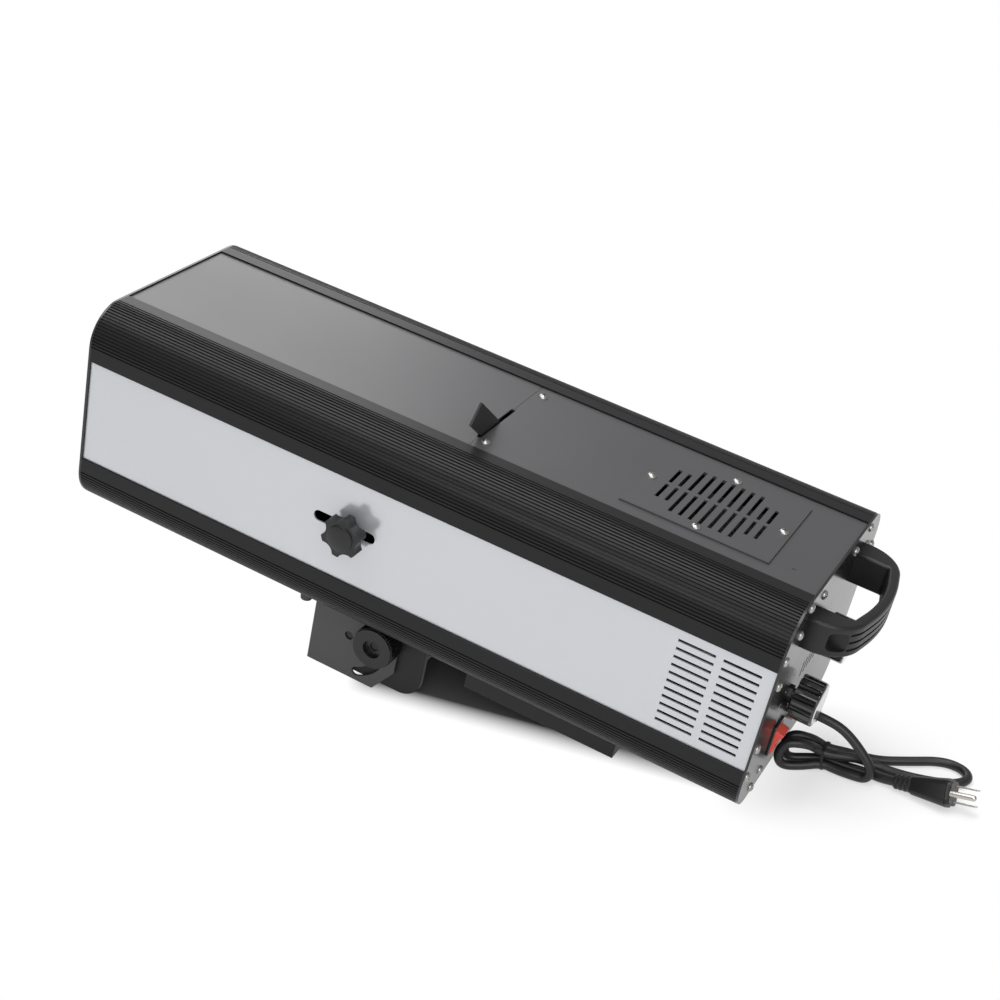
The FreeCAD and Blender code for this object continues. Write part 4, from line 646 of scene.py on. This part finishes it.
# %% Mouldings and turned pieces
MOULDINGS = [
    ("rear_handle", "grooved_handle", nylon, 0.35), ("focus_knob", "star_knob", knob_nylon, 0.7),
    ("wheel_left", "locking_wheel_left", knob_nylon, 0.25),
    ("wheel_right", "locking_wheel_right", knob_nylon, 0.25),
    ("dimmer_dial", "dimmer_knob", dial_plastic, 0.4), ("strobe_dial", "strobe_knob", dial_plastic, 0.4),
    ("power_rocker", "red_rocker", rocker_red, 0.5), ("switch_housing", "switch_bezel", dial_plastic, 0.5),
    ("cable_gland", "lead_gland", nylon, 0.4), ("fuse_holder", "fuse_cap", nickel, 0.4),
    ("feet", "rubber_feet", foot_rubber, 0.6),
    ("focus_stud", "focus_stud_bar", screw_metal, 0.2), ("focus_washer", "focus_slot_washer", nylon, 0.2),
    ("tilt_pins", "tilt_pin_pair", black_steel, 0.4), ("tilt_washers", "tilt_washer_pair", nylon, 0.1),
    ("wheel_bolts", "locking_bolt_pair", black_steel, 0.4), ("front_lens_barrel", "lens_barrel", black_alloy, 0.3),
    ("front_lens_ring", "lens_retaining_ring", black_alloy, 0.3), ("front_lens", "front_glass", lens_glass, 0.3),
    ("focus_lens", "focus_glass", lens_glass, 0.3), ("condenser_lens", "condenser_glass", lens_glass, 0.3)]
for node, name, material, edge in MOULDINGS:
    dress(node, name, material, edge)
print(len(MOULDINGS), "mouldings and turned pieces dressed")

# %% [markdown]
# ## Screws with Geometry Nodes
# Thirty-eight pan-head screws hold the lamp house together. They are all one shape, so one tree draws a domed head
# with a cross recess, and a shank, and sets a copy at every place. The places come from the CAD screws: each is
# one island of its solid's mesh, with its head at the end where its points lie furthest from its axis.

# %% Screw tree and the screws
RECESS_REACH, RECESS_WIDTH, RECESS_DEPTH = 1.15, 0.24, 1.3


def screw_tree():
    tree = ShapeTree("Pan head screws", Radius="Float", Height="Float", Shank="Float")
    radius, height, places = tree.given("Radius"), tree.given("Height"), tree.given("Geometry")

    def moved(shape, scale, lift=0.0):
        return tree.add("GeometryNodeTransform", {},
                        {"Geometry": shape, "Scale": tree.xyz(*scale), "Translation": tree.xyz(z=lift)})

    ball = tree.add("GeometryNodeMeshUVSphere", {}, {"Segments": 20, "Rings": 12, "Radius": 1.0}, "Mesh")
    dome = moved(ball, (radius, radius, height))
    cube = tree.add("GeometryNodeMeshCube", {}, {"Size": (1, 1, 1)}, "Mesh")
    below = moved(cube, (radius * 3.0, radius * 3.0, height * 2.0), height * -1.0)
    long, thin, deep = radius * RECESS_REACH, radius * RECESS_WIDTH, height * RECESS_DEPTH
    arms = [moved(cube, scale, height) for scale in ((long, thin, deep), (thin, long, deep))]
    head = tree.add("GeometryNodeMeshBoolean", {"operation": "DIFFERENCE", "solver": "EXACT"},
                    {"Mesh 1": dome, "Mesh 2": tree.joined(below, *arms), "Self Intersection": True}, "Mesh")
    shank = tree.add("GeometryNodeMeshCylinder", {},
                     {"Vertices": 12, "Radius": tree.given("Shank"), "Depth": 1.0}, "Mesh")
    sunk = tree.add("GeometryNodeTransform", {}, {"Geometry": shank, "Translation": (0, 0, -0.5)})
    facing = tree.named("facing", "FLOAT_VECTOR")
    stretch = tree.xyz(1.0, 1.0, tree.named("shank_length", "FLOAT"))
    tree.finish(tree.joined(tree.copies(head, places, Rotation=facing),
                            tree.copies(sunk, places, Rotation=facing, Scale=stretch)))
    return tree


def islands(mesh):
    """The separate solids of a mesh, each as a list of its points, in the same order on every run."""
    shape = bmesh.new()
    shape.from_mesh(mesh)
    bmesh.ops.remove_doubles(shape, verts=shape.verts, dist=WELD)
    seen = set()
    for first in shape.verts:
        if first in seen:
            continue
        seen.add(first)
        island, border = [], [first]
        while border:
            point = border.pop()
            island.append(point.co.copy())
            for side in point.link_edges:
                other = side.other_vert(point)
                if other not in seen:
                    seen.add(other)
                    border.append(other)
        yield island
    shape.free()


def screw_place(island, axis):
    """Where a screw's head sits, which way it faces and how long its shank is, in the lamp's frame."""
    points = [LAMP.inverted() @ point for point in island]
    low, high = [[pick(point[i] for point in points) for i in range(3)] for pick in (min, max)]
    middle = Vector([(a + b) / 2 for a, b in zip(low, high)])

    def from_axis(point):
        offset = point - middle
        offset[axis] = 0
        return offset.length

    head = [point[axis] for point in points if from_axis(point) > HEAD_LIMIT]
    outward = 1 if sum(head) / len(head) > middle[axis] else -1
    seat = min(head) if outward > 0 else max(head)
    tip = low[axis] if outward > 0 else high[axis]
    middle[axis] = seat
    return middle, outward, abs(seat - tip)


HEAD_LIMIT, HEAD_CORNER = 3.2 * MM, math.radians(35)
SCREW = {"Radius": 4.0 * MM, "Height": 2.6 * MM, "Shank": 1.95 * MM}
SCREW_AXES = {"cover_screws": 2, "end_screws": 0, "ear_screws": 2}
pan_heads = screw_tree()
dice = random.Random(7)
for node, axis in SCREW_AXES.items():
    places = [screw_place(island, axis) for island in islands(frame["nodes"][node].data)]
    seeds = bpy.data.meshes.new(node + "_places")
    seeds.from_pydata([LAMP @ spot for spot, outward, length in places], [], [])
    seeds.attributes.new("facing", "FLOAT_VECTOR", "POINT")
    seeds.attributes.new("shank_length", "FLOAT", "POINT")
    facing, lengths = seeds.attributes["facing"], seeds.attributes["shank_length"]
    for i, (spot, outward, length) in enumerate(places):
        normal = LAMP.to_3x3().col[axis] * outward
        spin = Matrix.Rotation(dice.uniform(0, math.pi), 4, "Z")
        turned = normal.to_track_quat("Z", "Y").to_matrix().to_4x4() @ spin
        facing.data[i].vector = turned.to_euler()
        lengths.data[i].value = length
    mesh = pan_heads.grow(node + "_finished", seeds, Finish=screw_metal, **SCREW)
    mesh.set_sharp_from_angle(angle=HEAD_CORNER)
    place_piece("pan_head_" + node, mesh, screw_metal, "housing", SLOT_OF[node], [node])
    print(node, len(places), "screws,", len(mesh.polygons), "faces")

# %% [markdown]
# ## Dial caps and print
# Each dial ends in a bright turned cap. Round the dials the rear panel carries a plain scale of ticks and the
# numbers 0 to 10. Print is ink of almost no thickness, so we draw it as flat shapes that stand a few hundredths of
# a millimetre off the panel. The ticks follow a rule, so they come from a tree; a number is a text curve turned
# into a mesh.

# %% Dial caps, ticks and numbers
DIAL_FACE, DIAL_SPOTS = -26.0, {"dimmer_dial": (45.0, -9.5), "strobe_dial": (0.0, 26.5)}
SCALE_SWEEP, SCALE_STEPS, INK_LIFT = math.radians(300), 10, 0.06
TICK = {"Radius": 20.0 * MM, "Length": 2.8 * MM, "Width": 0.8 * MM}
NUMBER_EVERY, NUMBER_SIZE, NUMBER_RADIUS = 2, 4.4, 25.6
CAP_RADIUS, CAP_RIM, CAP_DEPTH, CAP_SINK = 16.2, 15.8, 0.6, 0.2


def rear_matrix(y, z, x):
    """A flat drawing's place on the rear panel: its x runs to the lamp's right, its y up, its z outwards."""
    basis = Matrix(((0, 0, -1, 0), (-1, 0, 0, 0), (0, 1, 0, 0), (0, 0, 0, 1)))
    return LAMP @ Matrix.Translation(Vector((x, y, z)) * MM) @ basis


def tick_tree():
    tree = ShapeTree("Scale ticks", Steps="Int", Sweep="Float", Radius="Float", Length="Float", Width="Float")
    count = tree.add("FunctionNodeFloatToInt", {}, {0: tree.given("Steps") + 1.0})
    line = tree.add("GeometryNodeMeshLine", {"mode": "OFFSET"}, {"Count": count, "Offset": (0, 0, 0)})
    turn = tree.given("Sweep") * (tree.add("GeometryNodeInputIndex") / tree.given("Steps") - 0.5)
    middle = tree.given("Radius") + tree.given("Length") * 0.5
    offset = tree.xyz(turn.sine() * middle, (turn + math.pi / 2).sine() * middle)
    points = tree.add("GeometryNodeSetPosition", {}, {"Geometry": line, "Offset": offset})
    mark = tree.add("GeometryNodeMeshGrid", {}, {"Size X": tree.given("Width"), "Size Y": tree.given("Length"),
                                                "Vertices X": 2, "Vertices Y": 2}, "Mesh")
    tree.finish(tree.copies(mark, points, Rotation=tree.xyz(z=turn * -1.0)))
    return tree


def number_mesh(number):
    """A number as a flat mesh, centred on its own place."""
    curve = bpy.data.curves.new("number", "FONT")
    curve.body, curve.size, curve.align_x, curve.align_y = str(number), NUMBER_SIZE * MM, "CENTER", "CENTER"
    curve.resolution_u = 3
    return frozen(add_object("number", curve))


def printed(name, drawings):
    """Several flat drawings, already in place, joined into one inked piece on the rear panel."""
    shape = bmesh.new()
    for drawing in drawings:
        shape.from_mesh(drawing)
    return place_piece(name, mesh_of(name, shape), white_ink, "housing", "gloss_black")


scale_ticks = tick_tree()
for body, (y, z) in DIAL_SPOTS.items():
    cap = bmesh.new()
    bmesh.ops.create_cone(cap, cap_ends=True, segments=48, radius1=CAP_RADIUS * MM, radius2=CAP_RIM * MM,
                          depth=CAP_DEPTH * MM)
    cap_mesh = mesh_of(body + "_cap", cap)
    cap_mesh.transform(rear_matrix(y, z, DIAL_FACE - CAP_SINK))
    cap_metal = spun("spun_cap_of_" + body, (0.8, 0.8, 0.81), 0.24, (DIAL_FACE, y, z))
    place_piece(body + "_cap", cap_mesh, cap_metal, body, "aluminium")
    ticks = scale_ticks.grow(body + "_ticks", bpy.data.meshes.new(body + "_seed"), Steps=SCALE_STEPS,
                             Sweep=SCALE_SWEEP, Finish=white_ink, **TICK)
    ticks.transform(rear_matrix(y, z, -INK_LIFT))
    drawings = [ticks]
    for step in range(0, SCALE_STEPS + 1, NUMBER_EVERY):
        turn = SCALE_SWEEP * (step / SCALE_STEPS - 0.5)
        number = number_mesh(step)
        number.transform(rear_matrix(y - NUMBER_RADIUS * math.sin(turn), z + NUMBER_RADIUS * math.cos(turn),
                                     -INK_LIFT))
        drawings.append(number)
    printed(body + "_scale", drawings)
    print(body, "cap and scale drawn")

# %% [markdown]
# ## The pieces inside
# Through the vents and the lens one can see a little of the inside, so each inner solid gets a finish of its own.
# Their shapes are plain machined or stamped ones and the solids show them well, so only the material is assigned.

# %% Inner solids
INSIDE = {
    "heatsink": alloy, "lens_carriage": alloy, "condenser_barrel": alloy, "led_driver": alloy,
    "led_module": board_green, "control_board": board_green, "guide_rods": screw_metal, "dowser_pin": screw_metal,
    "fan_frame": nylon, "fan_rotor": nylon, "potentiometers": black_alloy, "engine_bulkhead": shade_darkened_coat,
    "gate_bulkhead": shade_darkened_coat, "front_bulkhead": shade_darkened_coat}
for node, material in INSIDE.items():
    solid = frame["nodes"][node]
    solid.data.materials.clear()
    solid.data.materials.append(material)
print(len(INSIDE), "inner solids given a finish")

# %% [markdown]
# ## Floor and light
# The photograph is a product shot on a white sweep. The floor is pale and keeps the lamp's shadow, while the
# camera, mirrors and glass are shown plain white around it. The white gives way to the shaded floor only close to
# the lamp, and right under the lamp house the floor's own colour is darkened as painted shade. Two large soft
# lamps light the lamp house from above and from the camera's side, and the world fills the rest. Two cards are
# seen only as gleams: one brightens the covers towards the nose, one the left flank.

# %% Floor and studio light
LAMP_SHADOW, LAMP_FADE = (0.16, 0.075, -0.08, -0.025), 0.028
LEAD_SHADOW, LEAD_FADE = (0.06, 0.04, -0.37, 0.01), 0.07
# The darkest floor colour is painted shade right under the lamp house. It fades to the pale floor over LAMP_FADE.
PAINTED_SHADE_FLOOR, PALE_FLOOR, MIRRORED_WHITE = (0.12,) * 3, (0.88,) * 3, 0.62


def studio_white():
    """A pale floor that the camera sees as white where nothing shades it, with painted shade darkening its own
    colour under the lamp house.
    """
    finish = Finish("studio_floor")
    glow = finish.add("ShaderNodeEmission", {}, {"Color": (1, 1, 1, 1), "Strength": 1.0})
    ray = finish.add("ShaderNodeLightPath", {}, {}, None)
    x, y, _ = finish.split(finish.place)

    def away(half_x, half_y, middle_x, middle_y):
        """How far a point of the floor lies outside a rectangle."""
        over_x = (abs(x - middle_x) - half_x).at_least(0.0)
        over_y = (abs(y - middle_y) - half_y).at_least(0.0)
        return (over_x * over_x + over_y * over_y) ** 0.5

    under_lamp = (away(*LAMP_SHADOW) / LAMP_FADE).clipped()
    round_lead = (away(*LEAD_SHADOW) / LEAD_FADE).clipped()
    # Painted shade: the floor's own colour is tinted dark under the lamp house.
    diffuse = finish.add("ShaderNodeBsdfDiffuse", {}, {"Color": finish.tint(PAINTED_SHADE_FLOOR, PALE_FLOOR, under_lamp)})
    share = under_lamp * (round_lead * 0.5 + 0.5)
    camera_ray, glossy_ray, glass_ray = [Wire(finish, ray.outputs[f"Is {kind} Ray"])
                                         for kind in ("Camera", "Glossy", "Transmission")]
    mirrored = (glossy_ray + glass_ray).clipped()
    seen = camera_ray * share + mirrored * MIRRORED_WHITE
    mixed = finish.add("ShaderNodeMixShader", {}, {0: seen.clipped(), 1: diffuse, 2: glow})
    finish.add("ShaderNodeOutputMaterial", {}, {"Surface": mixed}, None)
    return finish.material


FLOOR_SIZE = 14.0
floor_mesh = bpy.data.meshes.new("studio_floor")
corners = [(x * FLOOR_SIZE / 2, y * FLOOR_SIZE / 2, 0) for x, y in ((-1, -1), (1, -1), (1, 1), (-1, 1))]
floor_mesh.from_pydata(corners, [], [(0, 1, 2, 3)])
floor_mesh.materials.append(studio_white())
studio_floor = add_object("studio_floor", floor_mesh)


def soft_lamp(name, place, aim, size, power):
    """A square softbox at a place, turned to a point."""
    data = bpy.data.lights.new(name, "AREA")
    data.shape, data.size, data.energy = "SQUARE", size, power
    lamp = add_object(name, data)
    lamp.location = place
    lamp.rotation_euler = (Vector(aim) - Vector(place)).to_track_quat("-Z", "Y").to_euler()
    return lamp


soft_lamp("overhead_softbox", (0.3, 0.2, 2.6), (0, 0, 0.1), 2.4, 70)
soft_lamp("side_softbox", (-1.6, 2.4, 1.8), (0, 0, 0.15), 2.4, 60)
for card in (soft_lamp("nose_card", (1.34, -1.78, 1.6), (0, 0, 0.15), 1.4, 18),
             soft_lamp("flank_card", (0.2, 2.1, 1.3), (0, 0, 0.15), 0.5, 8)):
    card.visible_diffuse = False
world = bpy.data.worlds.new("studio")
bpy.context.scene.world = world
world.use_nodes = True
sky = Tree(world.node_tree)
rays = sky.add("ShaderNodeLightPath", {}, {}, None)
plain = sky.add("ShaderNodeBackground", {}, {"Color": (1, 1, 1, 1), "Strength": 0.42})
white = sky.add("ShaderNodeBackground", {}, {"Color": (1, 1, 1, 1), "Strength": 1.0})
direct = (Wire(sky, rays.outputs["Is Camera Ray"]) + Wire(sky, rays.outputs["Is Transmission Ray"])).clipped()
surround = sky.add("ShaderNodeMixShader", {}, {0: direct, 1: plain, 2: white})
sky.add("ShaderNodeOutputWorld", {}, {"Surface": surround}, None)
bpy.context.scene.view_settings.view_transform = "Standard"
print("floor, two softboxes, two cards and the world are set")
